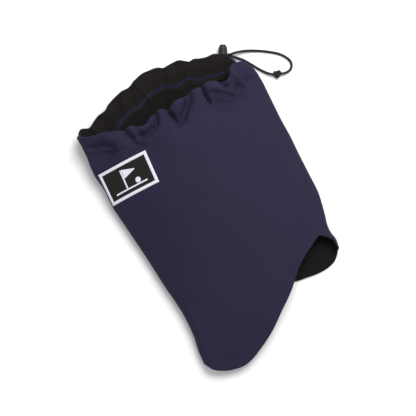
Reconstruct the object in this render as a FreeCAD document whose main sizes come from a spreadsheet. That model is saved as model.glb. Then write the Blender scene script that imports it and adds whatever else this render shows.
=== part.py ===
import FreeCAD, Part
import math
import os
from FreeCAD import Vector

# A golf neck warmer: a soft double-walled tube, open at both ends, lying flat.
# +Y runs up the tube to the gathered mouth, +X across it, +Z up. The origin is the middle of
# the tube's box, on the table. The neck end has a long front bib and a short back tail.

SIZES = [
    # the laid tube
    ("flat_width", 266.5, "widest flat width, fold to fold"),
    ("bib_length", 381.0, "mouth line to the tip of the front bib"),
    ("mouth_arch", 43.0, "how far the back rim rises past the mouth line"),
    ("notch_rise", 108.0, "bib tip up to the side-seam notch"),
    ("tail_rise", 65.5, "bib tip up to the back tail"),
    ("left_fold_rise", 27.0, "bib tip up to the hem at the left fold"),
    ("right_fold_rise", 80.0, "bib tip up to the hem at the right fold"),
    ("fold_radius", 12.0, "outside radius of the two side folds"),
    ("mouth_height", 68.0, "height of the open mouth"),
    ("chest_height", 58.0, "height of the laid tube below the mouth"),
    ("hem_crown", 3.5, "how far the laid tube's neck end crowns above its folds"),
    ("mouth_lift", 20.0, "how far the gathered mouth stands off the table"),
    # cloth
    ("shell_wall", 1.2, "soft-shell thickness"),
    ("layer_gap", 0.5, "room for the seam threads between shell and lining"),
    ("lining_wall", 1.5, "fleece thickness"),
    ("facing_wall", 1.2, "thickness of the channel's inner band"),
    ("channel_play", 2.0, "room in the channel beside the cord"),
    ("channel_depth", 28.0, "rim to the channel's stitch row"),
    ("facing_hem", 6.0, "facing below the stitch row"),
    ("stitch_width", 4.0, "width of the coverstitch row"),
    ("stitch_height", 0.6, "how proud the coverstitch row stands"),
    ("right_seam", 101.0, "right side seam, on the upper layer, from the mouth centre"),
    ("left_seam", 10.0, "left side seam, on the under layer, from the mouth centre"),
    ("seam_thread_width", 3.0, "width of a side seam's stitch row"),
    ("seam_thread_height", 0.4, "thickness of a side seam's stitch row"),
    # patch
    ("patch_right", -52.5, "patch's right edge, from the mouth centre"),
    ("patch_width", 76.5, "patch along X"),
    ("patch_top", -68.5, "patch's upper edge, from the mouth line"),
    ("patch_height", 46.5, "patch along Y"),
    ("patch_backing_wall", 0.3, "stiffener thickness"),
    ("patch_ground_wall", 0.6, "woven ground thickness"),
    ("patch_border_width", 4.5, "satin border width"),
    ("patch_border_rise", 0.5, "border above the ground"),
    ("emblem_rise", 0.4, "emblem thread above the ground"),
    # cord and its hardware
    ("cord_diameter", 3.4, "elastic drawcord"),
    ("cord_clearance", 0.15, "room round a cord in the lock"),
    ("lock_diameter", 12.2, "outside of the lock's cup"),
    ("lock_wall", 0.9, "wall and floor of the cup"),
    ("lock_below", 8.8, "cup below the cords"),
    ("lock_above", 11.5, "cup above the cords"),
    ("lock_slide", 5.0, "how far the lock runs in along the cords"),
    ("plunger_clearance", 0.25, "radial room between plunger and cup"),
    ("plunger_proud", 3.0, "button above the cup"),
    ("plunger_travel", 2.6, "press of the button"),
    ("plunger_foot", 1.2, "plunger below its slot"),
    ("spring_wire", 0.6, "spring wire"),
    ("spring_rings", 4.0, "rings of the spring"),
    ("eyelet_bore", 2.25, "inside radius of an eyelet"),
    ("eyelet_barrel_wall", 0.5, "eyelet barrel wall"),
    ("eyelet_flange", 1.5, "flange beyond the barrel"),
    ("eyelet_sheet", 0.6, "flange thickness"),
    ("knot_lobe", 4.9, "radius of a knot lobe"),
    ("knot_reach", 2.2, "knot middle to a lobe's middle"),
]

doc = FreeCAD.newDocument("neck_warmer")
sheet = doc.addObject("Spreadsheet::Sheet", "sizes")
for row, (alias, value, note) in enumerate(SIZES, start=1):
    sheet.set(f"A{row}", note)
    sheet.set(f"B{row}", str(value))
    sheet.setAlias(f"B{row}", alias)
doc.recompute()


def size(alias):
    """The value of one named cell."""
    return float(sheet.get(alias))


def bind(thing, **expressions):
    """Tie an object's properties to cells of the sheet."""
    for prop, expression in expressions.items():
        thing.setExpression(prop, expression)
    return thing


def feature(label, shape):
    """A document object that holds a shape made by Part's functions."""
    thing = doc.addObject("Part::Feature", label)
    thing.Shape = shape
    return thing


def cut(label, base, tool):
    thing = doc.addObject("Part::Cut", label)
    thing.Base = base
    thing.Tool = tool
    return thing


def common(label, *shapes):
    thing = doc.addObject("Part::MultiCommon", label)
    thing.Shapes = list(shapes)
    return thing


def fuse(label, *shapes):
    thing = doc.addObject("Part::MultiFuse", label)
    thing.Shapes = list(shapes)
    return thing


# ---- places -------------------------------------------------------------------------------
BEYOND = 40.0          # how far helper shapes reach past the tube
SINK = 0.8             # the skin's underside starts this far down and is trimmed flat
# The mouth's middle in the frame: the tube's box is centred on the origin.
MOUTH_X = -5.9
MOUTH_Y = (size("bib_length") - size("mouth_arch")) / 2
HALF = size("flat_width") / 2
BIB = -size("bib_length")


def place(x, y, z=0.0):
    """A point given from the middle of the mouth line."""
    return Vector(MOUTH_X + x, MOUTH_Y + y, z)


# ---- the laid tube's form -----------------------------------------------------------------
def stations():
    """y, middle x, half width, crown height and lift of each cross section, hem to mouth."""
    chest, mouth = size("chest_height"), size("mouth_height")
    hem = 2 * size("fold_radius") + size("hem_crown")
    lift = size("mouth_lift")
    hips, chest_line = BIB + 106, -110
    waist = hips + (chest_line - hips) * 5 / 11
    return [
        (BIB - 20, 1.0, HALF - 12.2, hem - 1, 0.0),
        (BIB + 36, 1.5, HALF - 12.2, hem, 0.0),
        (hips, 5.2, HALF - 15.5, hem + 4, 0.0),
        (waist, 8.5, HALF - 6.7, (chest + hem) / 2 + 2, 0.0),
        (chest_line, 5.8, HALF - 1.5, chest, 0.0),
        (-45, 5.0, HALF - 3.2, (chest + mouth) / 2, lift * 0.45),
        (-14, 2.2, HALF - 6.5, mouth - 2, lift * 0.85),
        (18, 1.2, HALF - 8.5, mouth, lift),
        (size("mouth_arch") + 10, 0.0, HALF - 10.2, mouth, lift),
    ]


def section_sizes(half, crown, lift, inset):
    """Low z, fold radius, fold reach, crown arc's centre z and radius, and the fold's end angle."""
    low = lift + (inset if inset > 0 else -SINK)
    radius = size("fold_radius") - inset
    height = crown - inset - low
    reach = half - inset - radius
    arc = (height ** 2 - 2 * height * radius + reach ** 2) / (2 * (height - 2 * radius))
    crown_z = low + height - arc
    lean = math.atan2(low + radius - crown_z, reach)
    return low, radius, reach, crown_z, arc, lean


def section(y, middle, half, crown, lift, inset):
    """Flat under side, round folds, crowned top, all moved inwards by inset."""
    low, radius, reach, crown_z, arc, lean = section_sizes(half, crown, lift, inset)
    swing = (lean - math.pi / 2) / 2

    def on_fold(side, angle):
        return place(middle + side * (reach + radius * math.cos(angle)), y,
                     low + radius + radius * math.sin(angle))

    foot_right = on_fold(1, -math.pi / 2)
    foot_left = on_fold(-1, -math.pi / 2)
    top_right = on_fold(1, lean)
    top_left = on_fold(-1, lean)
    edges = [
        Part.makeLine(foot_left, foot_right),
        Part.Arc(foot_right, on_fold(1, swing), top_right).toShape(),
        Part.Arc(top_right, place(middle, y, crown_z + arc), top_left).toShape(),
        Part.Arc(top_left, on_fold(-1, swing), foot_left).toShape(),
    ]
    return Part.Wire(edges)


def tube_form(inset):
    """The whole laid tube as a solid, its surface moved inwards by inset."""
    wires = [section(*station, inset) for station in stations()]
    name = f"form_{round(inset * 100):04d}".replace("-", "out_")
    return feature(name, Part.makeLoft(wires, True, False))


def layer(label, outer, inner):
    """A cloth-thin tube between two insets."""
    return cut(label, tube_form(outer), tube_form(inner))


# ---- outlines of the two laid layers ---------------------------------------------------------
FAR_LEFT = -HALF - BEYOND
FAR_RIGHT = HALF + BEYOND
LEFT_CORNER = 1.0      # the rim's height at the left fold
RIGHT_CORNER = -9.5    # and at the right fold


def across(share):
    """x at a share of the half width from the tube's middle."""
    return share * HALF


def front_rim():
    return [(FAR_LEFT, LEFT_CORNER), (across(-0.96), LEFT_CORNER), (across(-0.75), -13.0),
            (across(-0.50), -27.0), (across(-0.28), -35.0), (across(-0.08), -28.5),
            (across(0.22), -28.0), (across(0.47), -25.0), (across(0.66), -31.5),
            (across(0.81), -13.0), (across(0.96), RIGHT_CORNER), (FAR_RIGHT, RIGHT_CORNER)]


def back_rim():
    arch = size("mouth_arch")
    return [(FAR_LEFT, LEFT_CORNER), (across(-0.94), LEFT_CORNER + 1), (across(-0.75), 14.0),
            (across(-0.45), 27.0), (across(-0.17), arch - 6), (across(0.06), arch),
            (across(0.38), arch - 9), (across(0.67), 21.0), (across(0.88), 9.0),
            (across(0.96), RIGHT_CORNER), (FAR_RIGHT, RIGHT_CORNER)]


def front_hem():
    left, right = BIB + size("left_fold_rise"), BIB + size("right_fold_rise")
    notch = BIB + size("notch_rise")
    return [(FAR_RIGHT, right), (across(0.92), right), (size("right_seam") + 6, notch - 6),
            (size("right_seam"), notch), (size("right_seam") - 7.7, notch - 7),
            (across(0.47), BIB + 84),
            (across(0.11), BIB + 41), (across(-0.30), BIB + 7), (across(-0.50), BIB),
            (across(-0.74), BIB + 8), (across(-0.86), left), (FAR_LEFT, left)]


def back_hem():
    left, right = BIB + size("left_fold_rise"), BIB + size("right_fold_rise")
    notch, tail = BIB + size("notch_rise") - 2, BIB + size("tail_rise")
    return [(FAR_RIGHT, right), (across(0.92), right - 2), (across(0.79), tail + 3),
            (across(0.59), tail), (across(0.35), tail + 4), (size("left_seam") + 14, notch - 22),
            (size("left_seam"), notch), (size("left_seam") - 16, notch - 5),
            (across(-0.41), BIB + 69), (across(-0.79), left + 3), (across(-0.86), left),
            (FAR_LEFT, left)]


def curve(points):
    """One smooth edge through an outline's points."""
    spline = Part.BSplineCurve()
    spline.interpolate([place(x, y, -BEYOND) for x, y in points])
    return spline.toShape()


def prism(label, rim, hem, drop=0.0):
    """Everything between a rim and a hem, seen from above; drop lowers the rim."""
    lowered = [(x, y - drop) for x, y in rim]
    top, bottom = curve(lowered), curve(hem)
    right = Part.makeLine(place(*lowered[-1], -BEYOND), place(*hem[0], -BEYOND))
    left = Part.makeLine(place(*hem[-1], -BEYOND), place(*lowered[0], -BEYOND))
    face = Part.Face(Part.Wire([top, right, bottom, left]))
    return feature(label, face.extrude(Vector(0, 0, 4 * BEYOND)))


def station_at(y):
    """Middle, half width, crown and lift of the section at a place along the tube."""
    rows = stations()
    for below_it, above_it in zip(rows, rows[1:]):
        if y <= above_it[0]:
            break
    share = (y - below_it[0]) / (above_it[0] - below_it[0])
    return [a + (b - a) * share for a, b in zip(below_it[1:], above_it[1:])]


def split_height(y):
    """Height of the fold's outermost line at a place along the tube."""
    return station_at(y)[3] + size("fold_radius") - SINK / 2


def side_zone(label, top):
    """All that lies above, or below, the line where the folds turn."""
    rows = [station[0] for station in stations()]
    line = [(y, split_height(y)) for y in rows]
    edge = 3 * BEYOND if top else 0.0
    corners = [(rows[0], edge)] + line + [(rows[-1], edge)]
    points = [place(FAR_LEFT, y, z) for y, z in corners]
    face = Part.Face(Part.makePolygon(points + [points[0]]))
    return feature(label, face.extrude(Vector(FAR_RIGHT - FAR_LEFT, 0, 0)))


def slab(label, x0, x1):
    """Everything between two x values."""
    y0, y1 = BIB - BEYOND, size("mouth_arch") + BEYOND
    box = Part.makeBox(x1 - x0, y1 - y0, 5 * BEYOND, place(x0, y0, -BEYOND))
    return feature(label, box)


above = side_zone("zone_above", True)
below = side_zone("zone_below", False)
upper_outline = prism("outline_upper", front_rim(), front_hem())
lower_outline = prism("outline_lower", back_rim(), back_hem())
upper_zone = common("zone_upper", upper_outline, above)
lower_zone = common("zone_lower", lower_outline, below)
whole_zone = fuse("zone_whole", upper_zone, lower_zone)
left_of_right_seam = slab("slab_left_of_right_seam", FAR_LEFT, size("right_seam"))
right_of_right_seam = slab("slab_right_of_right_seam", size("right_seam"), FAR_RIGHT)
left_of_left_seam = slab("slab_left_of_left_seam", FAR_LEFT, size("left_seam"))
right_of_left_seam = slab("slab_right_of_left_seam", size("left_seam"), FAR_RIGHT)
front_zone = fuse("zone_front",
                  common("zone_front_upper", upper_zone, left_of_right_seam),
                  common("zone_front_lower", lower_zone, left_of_left_seam))
back_zone = fuse("zone_back",
                 common("zone_back_upper", upper_zone, right_of_right_seam),
                 common("zone_back_lower", lower_zone, right_of_left_seam))

# ---- insets of the cloth layers ------------------------------------------------------------
SHELL_IN = size("shell_wall")
LINING_OUT = SHELL_IN + size("layer_gap")
LINING_IN = LINING_OUT + size("lining_wall")
FACING_OUT = LINING_IN + size("cord_diameter") + size("channel_play")
FACING_IN = FACING_OUT + size("facing_wall")
CORD_INSET = (LINING_IN + FACING_OUT) / 2

# ---- the cord lock and the eyelets: places ---------------------------------------------------
LOCK_AXIS = Vector(0.48, 0.877, 0)       # the way the button points
CORD_WAY = Vector(0.877, -0.48, 0)       # the way the cords run out through the lock
LOCK_RADIUS = size("lock_diameter") / 2
STACK = size("cord_diameter") / 2 + size("cord_clearance") / 2
CUP_ROUND = 1.2                          # rounding of the cup's two outer edges
BUTTON_ROUND = 0.5                       # and of the button's
SPRING_PLAY = 0.05                       # room at each end of the spring
THREAD_PLAY = 0.2                        # room each side of the right seam's threads
CROSSING = place(111.0, 13.4, LOCK_RADIUS)
UPPER_EYELET = (79.0, 11.0)
LOWER_EYELET = (67.0, 13.5)


def underside(y):
    """Height of the laid tube's under face at a place along it."""
    return split_height(y) - size("fold_radius") + SINK / 2


def lock_placement():
    """Lock parts are drawn with the button along +Z and the cords along +X."""
    turn = FreeCAD.Rotation(CORD_WAY, Vector(0, 0, -1), LOCK_AXIS, "ZXY")
    return FreeCAD.Placement(CROSSING, turn)


def eyelet_parts(name, spot):
    """Barrel with its outside flange, and the washer in the channel."""
    x, y = spot
    low = underside(y) - SINK - size("eyelet_sheet")
    bore = size("eyelet_bore")
    barrel = bore + size("eyelet_barrel_wall")
    rim = barrel + size("eyelet_flange")
    sheet_wall = size("eyelet_sheet")
    washer_low = underside(y) + LINING_IN
    top = washer_low + sheet_wall
    tube = Part.makeCylinder(barrel, top - low, place(x, y, low))
    flange = Part.makeCylinder(rim, sheet_wall, place(x, y, low))
    hole = Part.makeCylinder(bore, top - low + 2, place(x, y, low - 1))
    washer = Part.makeCylinder(rim, sheet_wall, place(x, y, washer_low))
    envelope = feature(f"{name}_envelope", tube.fuse([flange, washer]))
    barrel_hole = Part.makeCylinder(barrel, top - low + 2, place(x, y, low - 1))
    eyelet = feature(f"{name}_eyelet", tube.fuse(flange).cut(hole).removeSplitter())
    ring = feature(f"{name}_eyelet_washer", washer.cut(barrel_hole))
    return eyelet, ring, envelope


upper_eyelet, upper_washer, upper_envelope = eyelet_parts("upper", UPPER_EYELET)
lower_eyelet, lower_washer, lower_envelope = eyelet_parts("lower", LOWER_EYELET)
eyelet_room = fuse("eyelet_room", upper_envelope, lower_envelope)

# ---- cloth pieces -----------------------------------------------------------------------------
shell = layer("layer_shell", 0.0, SHELL_IN)
lining = layer("layer_lining", LINING_OUT, LINING_IN)
facing = layer("layer_facing", FACING_OUT, FACING_IN)

outer_front_panel = common("outer_front_panel", shell, front_zone)
back_cloth = common("back_panel_cloth", shell, back_zone)
outer_back_panel = cut("outer_back_panel", back_cloth, eyelet_room)


def mouth_ring(label, start, end):
    """All that lies between two depths below the rim, round the whole mouth."""
    rims = ((front_rim(), front_hem(), above, "upper"), (back_rim(), back_hem(), below, "lower"))
    parts = []
    for rim, hem, zone, side in rims:
        band = cut(f"{label}_{side}_band", prism(f"{label}_{side}_from", rim, hem, start),
                   prism(f"{label}_{side}_to", rim, hem, end))
        parts.append(common(f"{label}_{side}_zone", band, zone))
    return fuse(f"{label}_zone", *parts)


def mouth_band(label, cloth, start, end):
    """The ring of a layer that lies between two depths below the rim."""
    return common(label, cloth, mouth_ring(label, start, end))


# The fleece ends inside the channel's stitch row and leaves room for the right seam's threads.
lining_end = mouth_ring("lining_end", -BEYOND, size("channel_depth") - 1)
seam_reach = size("seam_thread_width") / 2 + THREAD_PLAY
seam_room = common("seam_room", above,
                   slab("seam_room_slab", size("right_seam") - seam_reach,
                        size("right_seam") + seam_reach))
lining_room = fuse("lining_room", lining_end, seam_room)
lining_front_panel = cut("lining_front_panel", common("lining_front_cloth", lining, front_zone),
                         lining_room)
lining_back_panel = cut("lining_back_panel", common("lining_back_cloth", lining, back_zone),
                        lining_room)


facing_end = size("channel_depth") + size("facing_hem")
channel_facing = mouth_band("channel_facing", facing, 0.0, facing_end)
stitch_layer = layer("layer_stitch", FACING_IN, FACING_IN + size("stitch_height"))
channel_stitching = mouth_band("channel_stitching", stitch_layer,
                               size("channel_depth") - size("stitch_width") / 2,
                               size("channel_depth") + size("stitch_width") / 2)

thread_start = SHELL_IN + (size("layer_gap") - size("seam_thread_height")) / 2
thread_layer = layer("layer_seam_thread", thread_start, thread_start + size("seam_thread_height"))


def seam_thread(label, x, zone):
    """The stitch row of a side seam, between shell and lining."""
    half = size("seam_thread_width") / 2
    return common(label, thread_layer, zone, slab(f"{label}_slab", x - half, x + half))


right_seam_thread = seam_thread("right_seam_thread", size("right_seam"), upper_zone)
left_seam_thread = seam_thread("left_seam_thread", size("left_seam"), lower_zone)

# ---- the patch -----------------------------------------------------------------------------
PATCH_LEFT = size("patch_right") - size("patch_width")
PATCH_LOW = size("patch_top") - size("patch_height")
BACKING = size("patch_backing_wall")
GROUND = BACKING + size("patch_ground_wall")


def patch_block(label, margin):
    """A block over the patch, smaller than it by a margin all round."""
    block = Part.makeBox(size("patch_width") - 2 * margin, size("patch_height") - 2 * margin,
                         4 * BEYOND, place(PATCH_LEFT + margin, PATCH_LOW + margin, 0))
    return feature(label, block)


def patch_point(right, up, z=0.0):
    """A place on the patch, from its middle."""
    middle_x = size("patch_right") - size("patch_width") / 2
    middle_y = size("patch_top") - size("patch_height") / 2
    return place(middle_x + right, middle_y + up, z)


def post(right, up, width, height):
    """An upright block over one bar of the emblem."""
    return Part.makeBox(width, height, 4 * BEYOND, patch_point(right, up))


def emblem_blocks():
    """A flag on its pole, a ball and the ground line, clear of each other."""
    ground_line = post(-22, -12.5, 44, 1.8)
    pole = post(-6, -10.4, 1.8, 22.9)
    corners = [patch_point(-3.8, 12.5), patch_point(12, 7), patch_point(-3.8, 1.5)]
    flag = Part.Face(Part.makePolygon(corners + corners[:1])).extrude(Vector(0, 0, 4 * BEYOND))
    ball = Part.makeCylinder(3.4, 4 * BEYOND, patch_point(11, -6.9))
    return [feature(f"emblem_{name}", shape) for name, shape in
            (("ground_line", ground_line), ("pole", pole), ("flag", flag), ("ball", ball))]


border_block = patch_block("border_block", 0.0)
border_hole = patch_block("border_hole", size("patch_border_width"))
backing_layer = layer("layer_backing", -BACKING, 0.0)
ground_layer = layer("layer_ground", -GROUND, -BACKING)
border_layer = layer("layer_border", -GROUND - size("patch_border_rise"), -GROUND)
emblem_layer = layer("layer_emblem", -GROUND - size("emblem_rise"), -GROUND)
patch_backing = common("patch_backing", backing_layer, border_block, above)
patch_ground = common("patch_ground", ground_layer, border_block, above)
patch_border = common("patch_border", border_layer, above,
                      cut("border_frame", border_block, border_hole))
emblem_threads = [common(f"{block.Label}_thread", emblem_layer, block, above)
                  for block in emblem_blocks()]
patch_emblem = fuse("patch_emblem", *emblem_threads)

# ---- cords ------------------------------------------------------------------------------------
CORD_RADIUS = size("cord_diameter") / 2
SHARE_OF_RUN = 0.45    # how much of the shorter run an arc takes


def rounded_path(points):
    """Straight runs joined by tangent arcs, each as large as its runs allow."""
    edges, radii = [], []
    start = points[0]
    for before, corner, after in zip(points, points[1:], points[2:]):
        run_in, run_out = corner - before, after - corner
        half_turn = run_in.getAngle(run_out) / 2
        take = SHARE_OF_RUN * min(run_in.Length, run_out.Length)
        radii.append(take / math.tan(half_turn))
        way_in, way_out = Vector(run_in).normalize(), Vector(run_out).normalize()
        arc_start, arc_end = corner - way_in * take, corner + way_out * take
        inward = Vector(way_out - way_in).normalize()
        bulge = radii[-1] / math.cos(half_turn) - radii[-1]
        edges.append(Part.LineSegment(start, arc_start).toShape())
        edges.append(Part.Arc(arc_start, corner + inward * bulge, arc_end).toShape())
        start = arc_end
    edges.append(Part.LineSegment(start, points[-1]).toShape())
    return Part.Wire(edges), radii


def cord_tube(label, points):
    """A round tube along a route; its volume is its section times its length."""
    path, radii = rounded_path(points)
    heading = points[1] - points[0]
    ring = Part.Wire(Part.makeCircle(CORD_RADIUS, points[0], heading))
    tube = path.makePipeShell([ring], True, True)
    wanted = math.pi * CORD_RADIUS ** 2 * path.Length
    if abs(tube.Volume - wanted) > 0.01 * wanted:
        raise ValueError(f"{label} is not a plain tube: {tube.Volume:.0f} for {wanted:.0f}")
    print(f"{label}: {path.Length:.1f} mm, radii {[round(radius, 1) for radius in radii]}")
    return feature(label, tube)


def through_lock(run, height):
    """A point on a strand's straight stretch, run mm out from the lock's middle."""
    spot = CROSSING + CORD_WAY * run
    return Vector(spot.x, spot.y, height)


UPPER_LEVEL = LOCK_RADIUS + STACK
LOWER_LEVEL = LOCK_RADIUS - STACK
EYELET_MOUTH = 1.5     # the strands start this far under the tube, in the eyelets' mouths
UPPER_START = place(*UPPER_EYELET, underside(UPPER_EYELET[1]) - EYELET_MOUTH)
LOWER_START = place(*LOWER_EYELET, underside(LOWER_EYELET[1]) - EYELET_MOUTH)
STRAIGHT_IN = -(LOCK_RADIUS + size("lock_slide") + 6.5)
STRAIGHT_OUT = LOCK_RADIUS + 3.4
KNOT = place(165.2, -47.8, size("knot_lobe"))

# Upper strand: down from its eyelet, through the lock, out in a wide bend and back to the knot.
UPPER_ROUTE = [
    UPPER_START,
    place(UPPER_EYELET[0] + 1.5, UPPER_EYELET[1], UPPER_LEVEL),
    through_lock(STRAIGHT_IN, UPPER_LEVEL),
    through_lock(STRAIGHT_OUT, UPPER_LEVEL),
    place(129.0, 8.5, 6.0),
    place(143.5, 4.5, 3.2),
    place(158.0, -3.0, 2.0),
    place(172.0, -12.5, 1.9),
    place(184.5, -23.0, 1.85),
    place(192.5, -37.5, 2.0),
    place(189.5, -48.0, 2.7),
    place(179.5, -52.5, 3.8),
    place(170.5, -49.8, size("knot_lobe")),
]
# Lower strand: the same way to the lock, then straight down its own side to the knot.
LOWER_ROUTE = [
    LOWER_START,
    place(LOWER_EYELET[0] + 1.5, LOWER_EYELET[1], LOWER_LEVEL),
    place(84.0, 18.5, LOWER_LEVEL),
    through_lock(STRAIGHT_IN, LOWER_LEVEL),
    through_lock(STRAIGHT_OUT, LOWER_LEVEL),
    place(125.5, 3.0, 4.0),
    place(134.5, -6.5, 2.9),
    place(142.0, -19.5, 2.0),
    place(149.0, -32.0, 2.0),
    place(155.5, -41.0, 3.4),
    place(161.2, -46.2, size("knot_lobe")),
]
cord_upper_strand = cord_tube("cord_upper_strand", UPPER_ROUTE)
cord_lower_strand = cord_tube("cord_lower_strand", LOWER_ROUTE)


def knot_shape():
    """Two round lobes, one beside the other."""
    lobes = []
    for side in (1, -1):
        centre = KNOT + LOCK_AXIS * (side * size("knot_reach"))
        lobes.append(Part.makeSphere(size("knot_lobe"), centre))
    return lobes[0].fuse(lobes[1])


strands = fuse("strands", cord_upper_strand, cord_lower_strand)
cord_knot = cut("cord_knot", feature("knot_lobes", knot_shape()), strands)


def height_at(outline, x):
    """y of an outline at a place across the tube."""
    spline = Part.BSplineCurve()
    spline.interpolate([Vector(px, py, 0) for px, py in outline])
    low, high = spline.FirstParameter, spline.LastParameter
    rising = spline.value(high).x > spline.value(low).x
    for _ in range(40):
        middle = (low + high) / 2
        if (spline.value(middle).x < x) == rising:
            low = middle
        else:
            high = middle
    return spline.value(middle).y


CHANNEL_MIDDLE = size("channel_depth") / 2


def in_channel_above(x):
    """A point of the drawcord on the upper layer."""
    y = height_at(front_rim(), x) - CHANNEL_MIDDLE
    middle, half, crown, lift = station_at(y)
    _, _, _, crown_z, arc, _ = section_sizes(half, crown, lift, CORD_INSET)
    return place(x, y, crown_z + math.sqrt(arc ** 2 - (x - middle) ** 2))


def in_channel_below(x):
    """A point of the drawcord on the under layer."""
    y = height_at(back_rim(), x) - CHANNEL_MIDDLE
    return place(x, y, underside(y) + CORD_INSET)


def round_fold(side, y):
    """The two corners of the drawcord's turn round a fold, under one first."""
    middle, half, crown, lift = station_at(y)
    low, radius, reach, _, _, lean = section_sizes(half, crown, lift, CORD_INSET)
    x = middle + side * (reach + radius)
    upper = low + radius + radius * math.tan(lean / 2)
    return [place(x, y, low), place(x, y - 0.5, upper)]


def over_eyelet(spot):
    """Where the drawcord turns down into an eyelet."""
    return place(*spot, underside(spot[1]) + CORD_INSET)


RING_STEP = 22.0       # spacing of the drawcord's points round the mouth
RIGHT_TURN = round_fold(1, RIGHT_CORNER - CHANNEL_MIDDLE)
LEFT_TURN = round_fold(-1, LEFT_CORNER - CHANNEL_MIDDLE)
CHANNEL_ROUTE = [UPPER_START, over_eyelet(UPPER_EYELET), in_channel_below(97.0),
                 in_channel_below(112.0), *RIGHT_TURN]
CHANNEL_ROUTE += [in_channel_above(106.0 - RING_STEP * step) for step in range(10)]
CHANNEL_ROUTE += reversed(LEFT_TURN)
CHANNEL_ROUTE += [in_channel_below(-104.0 + RING_STEP * step) for step in range(8)]
CHANNEL_ROUTE += [over_eyelet(LOWER_EYELET), LOWER_START]
channel_cord = cord_tube("channel_cord", CHANNEL_ROUTE)

# ---- the cord lock, drawn standing up and then laid down -------------------------------------
SLOT_HALF = size("cord_diameter") / 2 + size("cord_clearance")
SLOT_HIGH = 2 * STACK + size("cord_diameter") + 2 * size("cord_clearance")


def cylinder(label, radius, low, high):
    """A cylinder along Z whose sizes are expressions of the sheet."""
    return bind(doc.addObject("Part::Cylinder", label), Radius=radius,
                Height=f"({high}) - ({low})", **{".Placement.Base.z": low})


def slot(label, low, high):
    """The cords' way through, between two heights on the lock."""
    block = Part.makeBox(4 * LOCK_RADIUS, SLOT_HIGH, high - low,
                         Vector(-2 * LOCK_RADIUS, -SLOT_HIGH / 2, low))
    return feature(label, block)


def rounded_edges(label, base, radius, *heights):
    """Round the circular edges that lie at the given heights."""
    thing = doc.addObject("Part::Fillet", label)
    thing.Base = base
    doc.recompute()
    chosen = []
    for number, edge in enumerate(base.Shape.Edges, start=1):
        is_circle = isinstance(edge.Curve, Part.Circle)
        if is_circle and any(abs(edge.Curve.Center.z - height) < 1e-6 for height in heights):
            chosen.append((number, radius, radius))
    thing.Edges = chosen
    return thing


cup = cylinder("lock_cup", "sizes.lock_diameter / 2", "-sizes.lock_below", "sizes.lock_above")
cup_bore = cylinder("lock_bore", "sizes.lock_diameter / 2 - sizes.lock_wall",
                    "sizes.lock_wall - sizes.lock_below", "sizes.lock_above + 1")
rounded_cup = rounded_edges("lock_cup_rounded", cup, CUP_ROUND,
                            -size("lock_below"), size("lock_above"))
hollow_cup = cut("lock_cup_hollow", rounded_cup, cup_bore)
lock_body = cut("lock_body", hollow_cup, slot("lock_cord_way", -SLOT_HALF, SLOT_HALF))

PLUNGER_RADIUS = "sizes.lock_diameter / 2 - sizes.lock_wall - sizes.plunger_clearance"
PLUNGER_FOOT = -SLOT_HALF - size("plunger_foot")
PLUNGER_TOP = size("lock_above") + size("plunger_proud")
plunger_rod = cylinder("plunger_rod", PLUNGER_RADIUS,
                       "-sizes.cord_diameter / 2 - sizes.cord_clearance - sizes.plunger_foot",
                       "sizes.lock_above + sizes.plunger_proud")
rounded_plunger = rounded_edges("plunger_rounded", plunger_rod, BUTTON_ROUND, PLUNGER_TOP)
lock_plunger = cut("lock_plunger", rounded_plunger,
                   slot("plunger_cord_way", -SLOT_HALF,
                        SLOT_HALF + size("plunger_travel") + size("cord_clearance")))


def spring_shape():
    """A ring spring between the cup's floor and the plunger's foot.

    Each ring is joined to the next by a pair of short posts, a quarter turn on from the last."""
    wire = size("spring_wire") / 2
    floor = size("lock_wall") - size("lock_below") + wire + SPRING_PLAY
    rings = int(size("spring_rings"))
    step = (PLUNGER_FOOT - wire - SPRING_PLAY - floor) / (rings - 1)
    radius = LOCK_RADIUS - size("lock_wall") - size("plunger_clearance") - 2 * wire
    parts = []
    for number in range(rings):
        level = floor + number * step
        parts.append(Part.makeTorus(radius, wire, Vector(0, 0, level)))
        for side in (-radius, radius):
            if number < rings - 1:
                spot = Vector(side, 0, level) if number % 2 else Vector(0, side, level)
                parts.append(Part.makeCylinder(wire * 0.8, step, spot))
    return parts[0].fuse(parts[1:]).removeSplitter()


lock_spring = feature("lock_spring", spring_shape())
for piece in (lock_body, lock_plunger, lock_spring):
    piece.Placement = lock_placement()

# ---- check and write --------------------------------------------------------------------------
PARTS = [
    outer_front_panel, outer_back_panel, lining_front_panel, lining_back_panel,
    channel_facing, channel_stitching, right_seam_thread, left_seam_thread,
    patch_backing, patch_ground, patch_border, patch_emblem,
    channel_cord, cord_upper_strand, cord_lower_strand, cord_knot,
    upper_eyelet, upper_washer, lower_eyelet, lower_washer,
    lock_body, lock_plunger, lock_spring,
]
doc.recompute()
for thing in doc.Objects:
    faults = {"Invalid", "Error"} & set(thing.State)
    if faults:
        raise ValueError(f"{thing.Label}: {faults}")
os.makedirs("parts", exist_ok=True)
for piece in PARTS:
    if piece.Shape.isNull() or not piece.Shape.isValid():
        raise ValueError(f"{piece.Label} has no valid shape")
    piece.Shape.exportStep(f"parts/{piece.Label}.step")
    box = piece.Shape.BoundBox
    print(f"{piece.Label}: {len(piece.Shape.Solids)} solid, {piece.Shape.Volume:.0f} mm3, "
          f"x {box.XMin:.1f}..{box.XMax:.1f} y {box.YMin:.1f}..{box.YMax:.1f} "
          f"z {box.ZMin:.1f}..{box.ZMax:.1f}")
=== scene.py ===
"""A golf neck warmer lying flat: navy soft-shell outside, black fleece inside, a gathered
mouth on a drawcord with a cord lock, and a shaped hem with a long front bib."""

import math

import bpy
import bmesh
import numpy as np
from mathutils import Matrix, Vector


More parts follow.
